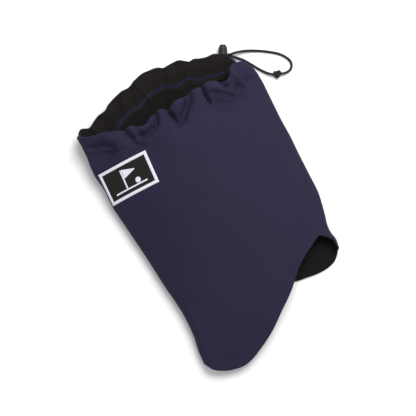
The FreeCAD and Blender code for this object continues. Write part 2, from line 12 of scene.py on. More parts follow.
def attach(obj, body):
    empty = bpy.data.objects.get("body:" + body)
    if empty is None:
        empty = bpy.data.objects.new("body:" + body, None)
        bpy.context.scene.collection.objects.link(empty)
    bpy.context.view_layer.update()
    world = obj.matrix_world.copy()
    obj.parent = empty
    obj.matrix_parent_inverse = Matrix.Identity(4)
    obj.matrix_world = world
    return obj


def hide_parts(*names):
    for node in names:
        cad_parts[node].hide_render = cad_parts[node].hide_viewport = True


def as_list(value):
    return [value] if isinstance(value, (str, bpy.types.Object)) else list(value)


bl_info = {
    "name": "Golf Neck Warmer",
    "version": (1, 0, 0),
    "blender": (4, 5, 0),
    "location": "View3D > Sidebar > Neck Warmer",
    "description": "Builds a soft-shell golf neck warmer round its packed frame",
    "category": "Object",
}

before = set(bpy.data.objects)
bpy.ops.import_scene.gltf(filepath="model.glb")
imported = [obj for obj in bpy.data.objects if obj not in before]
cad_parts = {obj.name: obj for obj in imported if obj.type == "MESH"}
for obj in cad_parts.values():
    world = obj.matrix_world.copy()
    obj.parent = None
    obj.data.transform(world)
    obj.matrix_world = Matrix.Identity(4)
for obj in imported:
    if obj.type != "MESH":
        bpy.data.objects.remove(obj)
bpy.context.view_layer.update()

MM = 0.001
# The middle of the gathered mouth in the frame. All cloth sizes below are millimetres from it.
MOUTH = (-5.9, 169.0)


def metres(points):
    """Millimetres from the mouth's middle to metres in the frame."""
    points = np.asarray(points, float)
    return (points + np.array([*MOUTH, 0.0])) * MM


# ---- outlines of the laid tube ------------------------------------------------------------
# Height along the tube first, then the silhouette's x.
LEFT_SIDE = [(-397.5, -119), (-358.5, -119.5), (-336, -118), (-314, -114), (-293, -112.5),
             (-277.5, -112.5), (-239.5, -116), (-187.5, -120), (-134, -125), (-108, -127.5),
             (-82.5, -126.5), (-56.5, -128.5), (-31, -126.5), (-6, -125.5), (4, -126.5),
             (58, -125.5)]
RIGHT_SIDE = [(-399.5, 113.5), (-320.5, 115), (-303, 117), (-291, 119), (-279.5, 117.5),
              (-267.5, 119), (-256.5, 122.5), (-235, 128), (-223, 130.5), (-198, 132),
              (-161, 133.5), (-135.5, 135.5), (-109, 136), (-71.5, 138), (-45.5, 138.5),
              (-35, 137.5), (-25, 134.5), (-16, 128.5), (-10, 125.5), (0, 123.5), (63, 123)]
# Across the tube first, then the edge's y.
FRONT_RIM = [(-141, 0.5), (-128.5, -0.5), (-112, -10), (-94.5, -15.5), (-76.5, -23.5),
             (-67.5, -27.5), (-56, -28), (-47.5, -34.5), (-40, -36.5), (-30, -31.5),
             (-18.5, -28.5), (-8, -29), (-2, -33), (7, -29), (22.5, -28), (35, -25.5),
             (49.5, -25.5), (60.5, -24), (72, -27), (82, -32.5), (91, -27.5), (100, -18.5),
             (108, -14.5), (116, -13), (124.5, -14), (139.5, -15)]
BACK_RIM = [(-141, 0), (-125.5, 1), (-119.5, 7.5), (-113.5, 10), (-101.5, 5.5), (-92.5, 11),
            (-83, 15.5), (-72, 17), (-60, 24), (-47, 28.5), (-34, 30.5), (-25, 31), (-14, 36),
            (-1.5, 39.5), (11.5, 39), (22.5, 37), (31.5, 31.5), (42.5, 33), (56, 31.5),
            (65, 23.5), (75, 23.5), (88, 18.5), (103.5, 15.5), (115, 10.5), (120.5, 5.5), (123, -3),
            (125.5, -13), (139.5, -15)]
FRONT_HEM = [(-138.5, -352), (-113.5, -353), (-108.5, -363.5), (-97, -373), (-81, -379),
             (-68.5, -380.5), (-54.5, -378), (-41, -372.5), (-15, -359.5), (10, -341.5),
             (32, -324.5), (55.5, -300.5), (71, -290), (85.5, -283.5), (94, -279.5),
             (100, -277.5), (104, -280), (108.5, -284.5), (112.5, -291), (115.5, -299),
             (117.5, -305), (131, -306)]
BACK_HEM = [(-138.5, -352), (-113.5, -354), (-105, -352), (-80.5, -335.5), (-56.5, -313.5),
            (-32, -292), (-12, -283.5), (1.5, -278.5), (9.5, -277.5), (15.5, -288.5), (24, -301),
            (43.5, -314), (62.5, -318), (75.5, -320), (89, -320.5), (101, -318.5), (108, -315.5),
            (113, -311), (117.5, -305), (135, -304)]
# Height along the tube, then the top of the upper layer and the lift of the under layer.
CROWN = [(-400, 14), (-381, 17), (-350, 24), (-300, 33), (-250, 40), (-200, 47), (-110, 57),
         (-45, 62), (-14, 64), (60, 65)]
LIFT = [(-400, 0.4), (-110, 0.4), (-75, 2.6), (-45, 8), (-14, 15.6), (18, 18.5), (60, 19)]


def smooth_line(points):
    """A smooth function through points that are given by rising first value."""
    table = np.array(points, float)
    x, y = table[:, 0], table[:, 1]
    steps = np.diff(y) / np.diff(x)
    slope = np.concatenate([steps[:1], (steps[:-1] + steps[1:]) / 2, steps[-1:]])

    def value(at):
        at = np.clip(at, x[0], x[-1])
        i = np.clip(np.searchsorted(x, at) - 1, 0, len(x) - 2)
        span = x[i + 1] - x[i]
        t = (at - x[i]) / span
        start = (1 + 2 * t) * (1 - t) ** 2 * y[i] + t * (1 - t) ** 2 * span * slope[i]
        end = t * t * (3 - 2 * t) * y[i + 1] + t * t * (t - 1) * span * slope[i + 1]
        return start + end

    return value


left_side, right_side = smooth_line(LEFT_SIDE), smooth_line(RIGHT_SIDE)
front_rim, back_rim = smooth_line(FRONT_RIM), smooth_line(BACK_RIM)
front_hem, back_hem = smooth_line(FRONT_HEM), smooth_line(BACK_HEM)
crown_height, lift_height = smooth_line(CROWN), smooth_line(LIFT)

RIGHT_SEAM = 101.0
LEFT_SEAM = 10.0
FOLD = 11.5            # outside radius of the side folds where the tube is full


def cross_section(share, y, under):
    """x, z and outward direction at a share of the way across a layer, left to right."""
    left, right = left_side(y), right_side(y)
    low, crown = lift_height(y), crown_height(y)
    height = crown - low
    radius = np.minimum(FOLD, 0.40 * height)
    middle, half = (left + right) / 2, (right - left) / 2
    reach = half - radius
    arc = (height ** 2 - 2 * height * radius + reach ** 2) / (2 * (height - 2 * radius))
    crown_z = low + height - arc
    lean = np.arctan2(low + radius - crown_z, reach)
    fold_turn = np.where(under, math.pi / 2, lean)
    flat = np.where(under, 2 * reach, 2 * arc * (math.pi / 2 - lean))
    fold = radius * fold_turn
    way = share * (2 * fold + flat)
    on_left, on_right = way < fold, way > fold + flat
    side = np.where(way < fold + flat / 2, -1.0, 1.0)
    turn = np.where(on_left, way, np.where(on_right, 2 * fold + flat - way, fold)) / radius
    up = np.where(under, -1.0, 1.0)
    fold_x = middle + side * (reach + radius * np.cos(turn))
    fold_z = low + radius + up * radius * np.sin(turn)
    between = way - fold - flat / 2
    crown_turn = between / arc
    top_x = np.where(under, middle + between, middle + arc * np.sin(crown_turn))
    top_z = np.where(under, low, crown_z + arc * np.cos(crown_turn))
    folded = on_left | on_right
    x, z = np.where(folded, fold_x, top_x), np.where(folded, fold_z, top_z)
    out_x = np.where(folded, side * np.cos(turn), np.where(under, 0, np.sin(crown_turn)))
    out_z = np.where(folded, up * np.sin(turn), np.where(under, -1, np.cos(crown_turn)))
    return x, z, out_x, out_z


def share_at(x, y, under):
    """The share of the way across at which a layer passes x."""
    shares = np.linspace(0, 1, 2001)
    found = cross_section(shares, np.full_like(shares, y), under)[0]
    return float(np.interp(x, found, shares))


# ---- folds and gathers -----------------------------------------------------------------------
def ease(t):
    """From 0 to 1, flat at both ends."""
    t = np.clip(t, 0, 1)
    return t * t * (3 - 2 * t)


def along(points, x, y):
    """Distance to a line of points, and the share of its length at the nearest place."""
    points = np.array(points, float)
    lengths = np.hypot(*np.diff(points, axis=0).T)
    gone = np.concatenate([[0], np.cumsum(lengths)])
    best, share = np.full(np.shape(x), 1e9), np.zeros(np.shape(x))
    for start, end, length, before in zip(points, points[1:], lengths, gone):
        way = (end - start) / length
        t = np.clip((x - start[0]) * way[0] + (y - start[1]) * way[1], 0, length)
        off = np.hypot(x - start[0] - t * way[0], y - start[1] - t * way[1])
        nearer = off < best
        best = np.where(nearer, off, best)
        share = np.where(nearer, (before + t) / gone[-1], share)
    return best, share


def stroke(x, y, points, width, height, fade_in=0.15, fade_out=0.35):
    """A ridge, or a groove where height is negative, that fades at its ends."""
    off, share = along(points, x, y)
    fade = ease(share / max(fade_in, 1e-3)) * ease((1 - share) / fade_out)
    return height * fade * np.exp(-(off / width) ** 2)


def mound(x, y, middle, reach, height, turn=0.0):
    """A soft hump, or a hollow where height is negative."""
    c, s = math.cos(math.radians(turn)), math.sin(math.radians(turn))
    dx, dy = x - middle[0], y - middle[1]
    return height * np.exp(-((dx * c + dy * s) / reach[0]) ** 2
                           - ((dy * c - dx * s) / reach[1]) ** 2)


# Each stroke: its line, its width, its height, and how it fades at its start and end.
FRONT_STROKES = [([(56, -26.5), (54.5, -38.5), (57, -58.5)], 2.2, -6.5, 0.02, 0.4),
                 ([(37, -25), (31, -36), (21.5, -44), (11.5, -54), (4.5, -64)], 4.5, -6.5, 0.05, 0.3),
                 ([(-2, -29.5), (-1, -39.5), (2, -53), (4.5, -65)], 3.0, -6.0, 0.02, 0.35),
                 ([(-18.5, -25.5), (-19.5, -35.5), (-24, -44.5), (-32, -50)], 3.4, -6.0, 0.05, 0.3),
                 ([(-25, -46.5), (-37, -48), (-48.5, -47), (-57, -50)], 4.2, -5.0, 0.2, 0.25),
                 ([(-68.5, -25.5), (-64.5, -36.5), (-57, -50)], 3.4, -4.5, 0.05, 0.3),
                 ([(-72.5, -33.5), (-62, -52), (-50.5, -64), (-39, -68.5)], 4.2, -2.4, 0.3, 0.5),
                 ([(-123.5, -20.5), (-112, -25.5), (-101.5, -29), (-91.5, -37), (-84, -46.5)],
                  3.2, -3.6, 0.2, 0.3),
                 ([(-108, -41), (-97.5, -45), (-85, -48.5)], 4.0, -2.4, 0.4, 0.4),
                 ([(82, -30), (85, -38), (90.5, -47)], 3.0, -3.0, 0.05, 0.5),
                 ([(54.5, -32.5), (68.5, -37.5), (83, -45), (95.5, -56), (109, -61.5), (121, -63.5)],
                  3.2, 3.4, 0.25, 0.3),
                 ([(101, -20), (98, -28), (89, -35), (82, -39)], 4.5, 3.6, 0.05, 0.4),
                 ([(100, -27), (105.5, -34.5), (111.5, -45.5), (116, -56.5)], 3.0, 3.2, 0.2, 0.4),
                 ([(15.5, -27), (13.5, -37), (8.5, -51)], 6.0, 3.0, 0.05, 0.5),
                 ([(-40.5, -36), (-42.5, -42), (-48.5, -46)], 6.0, 2.4, 0.05, 0.5),
                 ([(-92.5, -17), (-87, -29), (-75.5, -44.5)], 7.0, 2.0, 0.1, 0.5),
                 ([(-125, -33.5), (-125, -51), (-123, -67)], 5.0, 1.6, 0.3, 0.4)]
FRONT_MOUNDS = [((71, -59), (15, 12), -5.5, -20), ((103.5, -48), (8, 9), -5.0, 0),
                ((117.5, -41.5), (7, 13), -3.6, 20), ((43, -36.5), (11, 11), 2.6, 0),
                ((70.5, -32.5), (14, 6), 2.8, -15), ((-100, -43), (18, 8), -2.4, -15),
                ((37.5, -74.5), (24, 22), 1.6, 0), ((-17.5, -75), (24, 20), 1.5, 0),
                ((91, -93.5), (30, 26), 1.6, 0), ((83.5, -266), (9, 16), -1.4, 10),
                ((-64, -81.5), (30, 14), -0.8, 0)]
BACK_STROKES = [([(-101.5, 5.5), (-98.5, -4.5), (-93.5, -18.5)], 3.2, -2.6, 0.02, 0.4),
                ([(-66, 21), (-68, 8.5), (-72, -6)], 3.0, -2.2, 0.05, 0.4),
                ([(-40, 29.5), (-46, 15), (-49, -1.5)], 3.4, -2.4, 0.05, 0.4),
                ([(-20, 33), (-16, 17.5), (-11, -2), (-18, -15.5)], 2.8, -3.2, 0.05, 0.3),
                ([(31.5, 32), (24.5, 12), (13, -6.5), (6, -21)], 2.8, -3.4, 0.02, 0.3),
                ([(61, 27.5), (52.5, 10.5), (44, -8)], 3.2, -2.6, 0.02, 0.4),
                ([(95, 16.5), (87, 3), (78.5, -12)], 3.4, -2.6, 0.05, 0.4),
                ([(111.5, 11.5), (101, -1), (94.5, -11.5)], 2.6, -2.0, 0.05, 0.4),
                ([(-85.5, 12), (-82, 0), (-85.5, -14.5)], 5.0, 1.8, 0.1, 0.4),
                ([(-54, 23), (-58, 6.5), (-60, -10)], 5.0, 1.8, 0.1, 0.4),
                ([(-30, 29.5), (-32, 13), (-34, -5.5)], 5.0, 2.0, 0.1, 0.4),
                ([(10.5, 36.5), (4, 18), (-2, -3)], 6.0, 2.2, 0.1, 0.4),
                ([(46.5, 31), (38.5, 14.5), (28, -8.5)], 5.5, 2.0, 0.1, 0.4),
                ([(77, 21.5), (70.5, 6.5), (62.5, -10)], 5.0, 2.0, 0.1, 0.4)]


def slow_waves(x, y, height, seed):
    """The gentle unevenness of cloth that has been worn and laid down."""
    total = np.zeros(np.shape(x))
    for number in range(6):
        turn = seed + number * 2.4
        wave = 46 + 17 * number
        total += np.sin((x * math.cos(turn) + y * math.sin(turn)) * 2 * math.pi / wave + turn * 3)
    return height * total / 6


def rim_detail(rim, x):
    """How much a rim stands out past its own average nearby."""
    offsets = np.linspace(-26, 26, 15)
    return rim(x) - np.mean([rim(x + offset) for offset in offsets], axis=0)


CHANNEL_DEPTH = 28.0
GATHER = 1.4           # how strongly the drawcord gathers the upper layer


def front_relief(x, y):
    """Height added to the upper layer by its gathers, folds and slow waves."""
    depth = front_rim(x) - y
    total = slow_waves(x, y, 1.3, 0.7) * ease((depth - 10) / 60)
    for points, width, height, fade_in, fade_out in FRONT_STROKES:
        total += stroke(x, y, points, width * 1.12, height * GATHER, fade_in, fade_out)
    for middle, reach, height, turn in FRONT_MOUNDS:
        total += mound(x, y, middle, reach, height * GATHER, turn)
    total += 0.45 * rim_detail(front_rim, x) * np.exp(-np.maximum(depth, 0) / 20)
    total -= 1.0 * np.exp(-((depth - CHANNEL_DEPTH) / 3.0) ** 2)
    seam = np.exp(-((x - RIGHT_SEAM) / 1.3) ** 2) * ease((depth - 60) / 60)
    return total - 0.25 * seam * ease((-190 - y) / 60)


def back_relief(x, y):
    """Height added to the under layer; it never goes below the table."""
    depth = back_rim(x) - y
    near_mouth = ease(1.6 - depth / 60)
    total = slow_waves(x, y, 1.0, 2.1) * near_mouth
    for points, width, height, fade_in, fade_out in BACK_STROKES:
        total += stroke(x, y, points, width, height, fade_in, fade_out)
    total += 0.35 * rim_detail(back_rim, x) * np.exp(-np.maximum(depth, 0) / 16)
    return total * near_mouth


# ---- the cloth's grid -------------------------------------------------------------------------
def relief_on(x, y, share, under):
    """How far the gathers lift each point of the smooth tube, calmer on the side folds."""
    front = front_relief(x, y)
    calm = ease(np.minimum(share, 1 - share) / 0.05)
    return np.where(under, back_relief(x, y) * calm + 0.35 * front * (1 - calm),
                    front * (0.35 + 0.65 * calm))


class Cloth:
    """The laid tube as columns round it by rows from hem to rim.

    Columns start at the left fold, cross the upper layer, turn the right fold and come back
    under the tube. Every layer is the smooth tube moved inwards, plus the lift of the gathers."""

    def __init__(self, cell):
        seam_top = share_at(RIGHT_SEAM, -277, False)
        seam_under = share_at(LEFT_SEAM, -275, True)
        across = 290 / cell
        first, second = int(across * seam_top), int(across * (1 - seam_top)) + 2
        third, fourth = int(across * (1 - seam_under)), int(across * seam_under) + 2
        top = np.concatenate([np.linspace(0, seam_top, first),
                              np.linspace(seam_top, 1, second)[1:]])
        under = np.concatenate([np.linspace(1, seam_under, third)[1:],
                                np.linspace(seam_under, 0, fourth)[1:-1]])
        share = np.concatenate([top, under])
        is_under = np.arange(len(share)) >= len(top)
        self.right_seam, self.left_seam = first - 1, len(top) + third - 2
        self.right_fold = len(top) - 1

        rim_x = cross_section(share, np.full(len(share), -15.0), is_under)[0]
        hem_x = cross_section(share, np.full(len(share), -300.0), is_under)[0]
        rim = np.where(is_under, back_rim(rim_x), front_rim(rim_x))
        hem = np.where(is_under, back_hem(hem_x), front_hem(hem_x))
        rows = np.concatenate([np.linspace(0, 0.70, int(200 / cell)),
                               np.linspace(0.70, 1, int(160 / cell))[1:]])
        y = hem[:, None] + (rim - hem)[:, None] * rows[None, :]
        # room for the rolled edges
        y = y - RIM_ROLL * ease(1 - (rim[:, None] - y) / 30)
        y = y + HEM_ROLL * ease(1 - (y - hem[:, None]) / 20)
        wide_share = np.repeat(share[:, None], len(rows), 1)
        wide_under = np.repeat(is_under[:, None], len(rows), 1)
        x, z, out_x, out_z = cross_section(wide_share, y, wide_under)
        self.base = np.stack([x, y, z], -1)
        self.inward = -np.stack([out_x, np.zeros_like(x), out_z], -1)
        self.lift = -self.inward * relief_on(x, y, wide_share, wide_under)[..., None]
        self.lift[..., 2] = np.maximum(self.lift[..., 2], 0.3 - z)
        up = np.gradient(self.base, axis=1)
        up -= self.inward * np.sum(up * self.inward, -1, keepdims=True)
        self.up = up / np.linalg.norm(up, axis=-1, keepdims=True)
        steps = np.linalg.norm(np.diff(self.base, axis=1), axis=-1)
        self.from_hem = np.concatenate([np.zeros((len(share), 1)), np.cumsum(steps, 1)], 1)
        self.from_rim = self.from_hem[:, -1:] - self.from_hem
        ring = np.concatenate([self.base, self.base[:1]])
        gone = np.cumsum(np.linalg.norm(np.diff(ring, axis=0), axis=-1), 0)
        around = np.concatenate([np.zeros((1, len(rows))), gone[:-1]])[:, len(rows) * 2 // 3]
        self.uv = np.stack([np.repeat(around[:, None], len(rows), 1), self.from_hem], -1) * MM

    def inside(self, offset):
        """The surface moved inwards by an offset, one number or one per point."""
        offset = np.broadcast_to(offset, self.from_rim.shape)
        return self.base + self.inward * offset[..., None] + self.lift

    def roll(self, at_rim, radius, angles):
        """Rows that turn over the rim or the hem, at angles from the outer face in degrees."""
        row, reach, way = (-1, RIM_ROLL, 1) if at_rim else (0, HEM_ROLL, -1)
        inward, forward = self.inward[:, row], self.up[:, row] * way
        middle = self.base[:, row] + inward * reach + self.lift[:, row]
        turned = [middle - inward * radius * math.cos(math.radians(angle))
                  + forward * radius * math.sin(math.radians(angle)) for angle in angles]
        return np.stack(turned, 1)

    def roll_uv(self, at_rim, angles):
        """The cloth coordinates of a roll's rows."""
        row, reach, way = (-1, RIM_ROLL, 1) if at_rim else (0, HEM_ROLL, -1)
        shift = np.array(angles) / 180 * math.pi * reach * way * MM
        return self.uv[:, row][:, None, :] + np.stack([np.zeros(len(angles)), shift], -1)[None]

    def columns(self, panel):
        """The columns of the front panel or the back panel."""
        if panel == "back":
            return np.arange(self.right_seam, self.left_seam + 1)
        count = len(self.base)
        return np.arange(self.left_seam, count + self.right_seam + 1) % count

    def place(self, column, down, offset):
        """Points on a layer at column numbers, a distance down from the rim."""
        layer = self.inside(offset)
        count = len(layer)
        found = []
        for number, depth in zip(column, down):
            low = int(math.floor(number)) % count
            share = number - math.floor(number)
            pair = []
            for at in (low, (low + 1) % count):
                depths, line = self.from_rim[at][::-1], layer[at][::-1]
                pair.append([np.interp(depth, depths, line[:, axis]) for axis in range(3)])
            found.append(np.array(pair[0]) * (1 - share) + np.array(pair[1]) * share)
        return np.array(found)


RIM_ROLL = 3.2         # radius of the rolled mouth edge
HEM_ROLL = 1.5         # radius of the turned hem
SHELL_WALL = 0.6
LINING_OUT, LINING_IN = 1.2, 2.6
FACING_WALL = 0.9


# ---- meshes -----------------------------------------------------------------------------------
def new_piece(name, points, faces, finish, body="root", stands_for=(), uvs=None):
    """A smooth closed mesh in the frame, facing outwards, tied to its body."""
    mesh = bpy.data.meshes.new(name)
    mesh.from_pydata([tuple(point) for point in points], [], faces)
    if uvs is not None:
        corners = np.empty(len(mesh.loops), int)
        mesh.loops.foreach_get("vertex_index", corners)
        mesh.uv_layers.new(name="Cloth").data.foreach_set("uv", np.asarray(uvs)[corners].ravel())
    mesh.validate()
    work = bmesh.new()
    work.from_mesh(mesh)
    bmesh.ops.recalc_face_normals(work, faces=work.faces)
    work.to_mesh(mesh)
    work.free()
    mesh.shade_smooth()
    mesh.set_sharp_from_angle(angle=math.radians(62))
    piece = bpy.data.objects.new(name, mesh)
    bpy.context.scene.collection.objects.link(piece)
    return settle(piece, finish, body, stands_for)


def settle(piece, finish, body="root", stands_for=()):
    """Give a finished piece its material, body and finish, and the nodes it stands for."""
    piece.data.materials.clear()
    piece.data.materials.append(finish)
    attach(piece, body)
    if stands_for:
        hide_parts(*stands_for)
    return piece


def grid_faces(rows, cols, start, ring):
    """Quads of a grid of rows by cols points; a ring joins the last row to the first."""
    return [(start + i * cols + k, start + (i + 1) % rows * cols + k,
             start + (i + 1) % rows * cols + k + 1, start + i * cols + k + 1)
            for i in range(rows if ring else rows - 1) for k in range(cols - 1)]


def wall_mesh(outer, inner, uv, ring=False):
    """Points, faces and UVs of a closed wall between two grids of points."""
    rows, cols = outer.shape[:2]
    second = rows * cols
    faces = grid_faces(rows, cols, 0, ring)
    faces += [face[::-1] for face in grid_faces(rows, cols, second, ring)]
    for i in range(rows if ring else rows - 1):
        for k in (0, cols - 1):
            a, b = i * cols + k, (i + 1) % rows * cols + k
            side = (a, a + second, b + second, b)
            faces.append(side if k == 0 else side[::-1])
    if not ring:
        for i in (0, rows - 1):
            for k in range(cols - 1):
                a = i * cols + k
                side = (a, a + 1, a + 1 + second, a + second)
                faces.append(side if i == 0 else side[::-1])
    points = np.concatenate([outer.reshape(-1, 3), inner.reshape(-1, 3)])
    return metres(points), faces, np.tile(uv.reshape(-1, 2), (2, 1))


def cloth_wall(name, outer, inner, uv, finish, stands_for=(), ring=False):
    """A closed wall of cloth as a piece."""
    points, faces, uvs = wall_mesh(outer, inner, uv, ring)
    return new_piece(name, points, faces, finish, stands_for=stands_for, uvs=uvs)


def tube_mesh(line, radius, sides, up=(0, 0, 1), closed=False, relief=None):
    """Points, faces and UVs of a capped tube along a line; UV x is round it, y along it in metres."""
    line = np.asarray(line, float)
    count = len(line)
    if closed:
        ahead = np.roll(line, -1, 0) - np.roll(line, 1, 0)
    else:
        ahead = np.gradient(line, axis=0)
    ahead /= np.maximum(np.linalg.norm(ahead, axis=1, keepdims=True), 1e-12)
    side = np.cross(ahead, np.asarray(up, float))
    side /= np.maximum(np.linalg.norm(side, axis=1, keepdims=True), 1e-9)
    over = np.cross(side, ahead)
    gone = np.concatenate([[0], np.cumsum(np.linalg.norm(np.diff(line, axis=0), axis=1))])
    turn = np.linspace(0, 2 * math.pi, sides, endpoint=False)
    reach = np.broadcast_to(radius, (count,))[:, None] * np.ones(sides)
    if relief is not None:
        reach = reach * relief(turn[None, :], gone[:, None])
    points = (line[:, None] + side[:, None] * (np.cos(turn) * reach)[..., None]
              + over[:, None] * (np.sin(turn) * reach)[..., None]).reshape(-1, 3)
    faces = [(i * sides + k, (i + 1) % count * sides + k,
              (i + 1) % count * sides + (k + 1) % sides, i * sides + (k + 1) % sides)
             for i in range(count if closed else count - 1) for k in range(sides)]
    uvs = np.stack([np.repeat((turn / (2 * math.pi))[None], count, 0),
                    np.repeat(gone[:, None], sides, 1)], -1).reshape(-1, 2)
    if not closed:
        faces.append(tuple(range(sides))[::-1])
        faces.append(tuple((count - 1) * sides + k for k in range(sides)))
    return points, faces, uvs


def joined(parts):
    """Several meshes' points, faces and UVs as one."""
    points, faces, uvs, start = [], [], [], 0
    for some_points, some_faces, some_uvs in parts:
        points.append(some_points)
        uvs.append(some_uvs)
        faces += [tuple(index + start for index in face) for face in some_faces]
        start += len(some_points)
    return np.concatenate(points), faces, np.concatenate(uvs)


# ---- materials --------------------------------------------------------------------------------
def colour(red, green, blue):
    """A linear colour from everyday 0-255 values."""
    return tuple(((c / 255 + 0.055) / 1.055) ** 2.4 if c > 10 else c / 255 / 12.92
                 for c in (red, green, blue)) + (1.0,)


class Nodes:
    """A small helper that adds linked nodes to a node tree."""

    def __init__(self, tree):
        self.tree = tree

    def add(self, kind, settings=None, **inputs):
        node = self.tree.nodes.new(kind)
        for key, value in (settings or {}).items():
            setattr(node, key, value)
        for key, value in inputs.items():
            socket = node.inputs[int(key[1:])] if key[0] == "i" and key[1:].isdigit() \
                else node.inputs[key.replace("_", " ")]
            if isinstance(value, bpy.types.NodeSocket):
                self.tree.links.new(value, socket)
            else:
                socket.default_value = value
        return node

    def math(self, operation, first, second=0.0, third=0.0):
        return self.add("ShaderNodeMath", {"operation": operation}, i0=first, i1=second,
                        i2=third).outputs[0]


def node_group(name, inputs, outputs, build):
    """A shared effect, made once: build(nodes, its inputs) gives its outputs in order."""
    if name in bpy.data.node_groups:
        return bpy.data.node_groups[name]
    group = bpy.data.node_groups.new(name, "ShaderNodeTree")
    for label, kind, default in inputs:
        socket = group.interface.new_socket(label, in_out="INPUT", socket_type=kind)
        if default is not None:
            socket.default_value = default
    for label, kind in outputs:
        group.interface.new_socket(label, in_out="OUTPUT", socket_type=kind)
    nodes = Nodes(group)
    entry, leave = group.nodes.new("NodeGroupInput"), group.nodes.new("NodeGroupOutput")
    for number, result in enumerate(build(nodes, entry.outputs)):
        group.links.new(result, leave.inputs[number])
    return group


FLOAT, VECTOR = "NodeSocketFloat", "NodeSocketVector"


def weave_group():
    """A plain weave: threads over and under each other. Height and a slight shade."""
    def build(nodes, given):
        scaled = nodes.add("ShaderNodeVectorMath", {"operation": "SCALE"}, i0=given["Place"],
                           Scale=given["Threads per Metre"]).outputs[0]
        apart = nodes.add("ShaderNodeSeparateXYZ", i0=scaled).outputs
        over = nodes.math("SINE", nodes.math("MULTIPLY", apart[0], 2 * math.pi))
        across = nodes.math("SINE", nodes.math("MULTIPLY", apart[1], 2 * math.pi))
        lean = nodes.math("SINE", nodes.math("MULTIPLY", nodes.math(
            "ADD", apart[0], nodes.math("MULTIPLY", apart[1], given["Twill"])), math.pi))
        plain = nodes.math("MULTIPLY", over, across)
        slub = nodes.add("ShaderNodeTexNoise", Vector=scaled, Scale=0.13, Detail=2.0).outputs[0]
        height = nodes.math("ADD", nodes.math("MULTIPLY", plain, 0.5),
                            nodes.math("MULTIPLY", lean, 0.5))
        return nodes.math("MULTIPLY_ADD", height, 0.5, 0.5), slub
    return node_group("Woven Threads", [("Place", VECTOR, None), ("Threads per Metre", FLOAT, 1800.0),
                                        ("Twill", FLOAT, 1.0)],
                      [("Height", FLOAT), ("Shade", FLOAT)], build)


def pile_group():
    """Brushed fleece: short tufts over a soft unevenness."""
    def build(nodes, given):
        tufts = nodes.add("ShaderNodeTexNoise", Vector=given["Place"], Scale=given["Tufts per Metre"],
                          Detail=3.0, Roughness=0.7).outputs[0]
        matted = nodes.add("ShaderNodeTexVoronoi", Vector=given["Place"],
                           Scale=given["Tufts per Metre"]).outputs[0]
        height = nodes.math("ADD", tufts, nodes.math("MULTIPLY", matted, 0.4))
        drift = nodes.add("ShaderNodeTexNoise", Vector=given["Place"], Scale=34.0,
                          Detail=2.0).outputs[0]
        shade = nodes.math("ADD", nodes.math("MULTIPLY", tufts, 0.6), nodes.math("MULTIPLY", drift, 0.4))
        return height, shade
    return node_group("Fleece Pile", [("Place", VECTOR, None), ("Tufts per Metre", FLOAT, 900.0)],
                      [("Height", FLOAT), ("Shade", FLOAT)], build)


def twist_group():
    """The lay of thread: fine slanting strands along a stitched shape."""
    def build(nodes, given):
        scaled = nodes.add("ShaderNodeVectorMath", {"operation": "MULTIPLY"}, i0=given["Place"],
                           i1=given["Strands"]).outputs[0]
        apart = nodes.add("ShaderNodeSeparateXYZ", i0=scaled).outputs
        total = nodes.math("ADD", nodes.math("ADD", apart[0], apart[1]), apart[2])
        wave = nodes.math("SINE", nodes.math("MULTIPLY", total, 2 * math.pi))
        fuzz = nodes.add("ShaderNodeTexNoise", Vector=scaled, Scale=2.0, Detail=2.0).outputs[0]
        return nodes.math("MULTIPLY_ADD", wave, 0.5, 0.5), fuzz
    return node_group("Thread Twist", [("Place", VECTOR, None), ("Strands", VECTOR, None)],
                      [("Height", FLOAT), ("Shade", FLOAT)], build)


def drift_group():
    """Slow unevenness of dye and handling."""
    def build(nodes, given):
        slow = nodes.add("ShaderNodeTexNoise", Vector=given["Place"], Scale=given["Per Metre"],
                         Detail=3.0, Roughness=0.55).outputs[0]
        return (slow,)
    return node_group("Slow Drift", [("Place", VECTOR, None), ("Per Metre", FLOAT, 14.0)],
                      [("Shade", FLOAT)], build)


ROUGH_SPAN, GLOSS = 0.12, 0.2


def finish(name, base, light, pattern, values, bump, depth, roughness, sheen=0.0,
           sheen_tint=(1, 1, 1, 1), on_uv=False, metallic=0.0, drift=0.35):
    """A material: a pattern group drives colour, roughness and bump; uniform values are plain."""
    material = bpy.data.materials.new(name)
    material.use_nodes = True
    material.node_tree.nodes.clear()
    nodes = Nodes(material.node_tree)
    where = nodes.add("ShaderNodeTexCoord").outputs["UV" if on_uv else "Object"]
    solid = nodes.add("ShaderNodeTexCoord").outputs["Object"]
    effect = nodes.add("ShaderNodeGroup", {"node_tree": pattern}, Place=where, **values)
    slow = nodes.add("ShaderNodeGroup", {"node_tree": drift_group()}, Place=solid)
    share = nodes.math("ADD", nodes.math("MULTIPLY", effect.outputs["Height"], 1 - drift),
                       nodes.math("MULTIPLY", slow.outputs["Shade"], drift))
    mixed = nodes.add("ShaderNodeMix", {"data_type": "RGBA", "clamp_factor": True}, i0=share,
                      i6=base, i7=light).outputs[2]
    rough = nodes.add("ShaderNodeMapRange", Value=effect.outputs["Shade"],
                      To_Min=roughness - ROUGH_SPAN / 2, To_Max=roughness + ROUGH_SPAN / 2).outputs[0]
    raised = nodes.add("ShaderNodeBump", Strength=bump, Distance=depth,
                       Height=effect.outputs["Height"]).outputs[0]
    shader = nodes.add("ShaderNodeBsdfPrincipled", Base_Color=mixed, Roughness=rough, Normal=raised,
                       Metallic=metallic, Sheen_Weight=sheen, Sheen_Tint=sheen_tint)
    shader.inputs["Sheen Roughness"].default_value = 0.4
    shader.inputs["Specular IOR Level"].default_value = GLOSS
    nodes.add("ShaderNodeOutputMaterial", Surface=shader.outputs[0])
    return material


def shade(triple, times):
    """A colour made lighter or darker."""
    return tuple(min(1.0, value * times) for value in triple[:3]) + (1.0,)


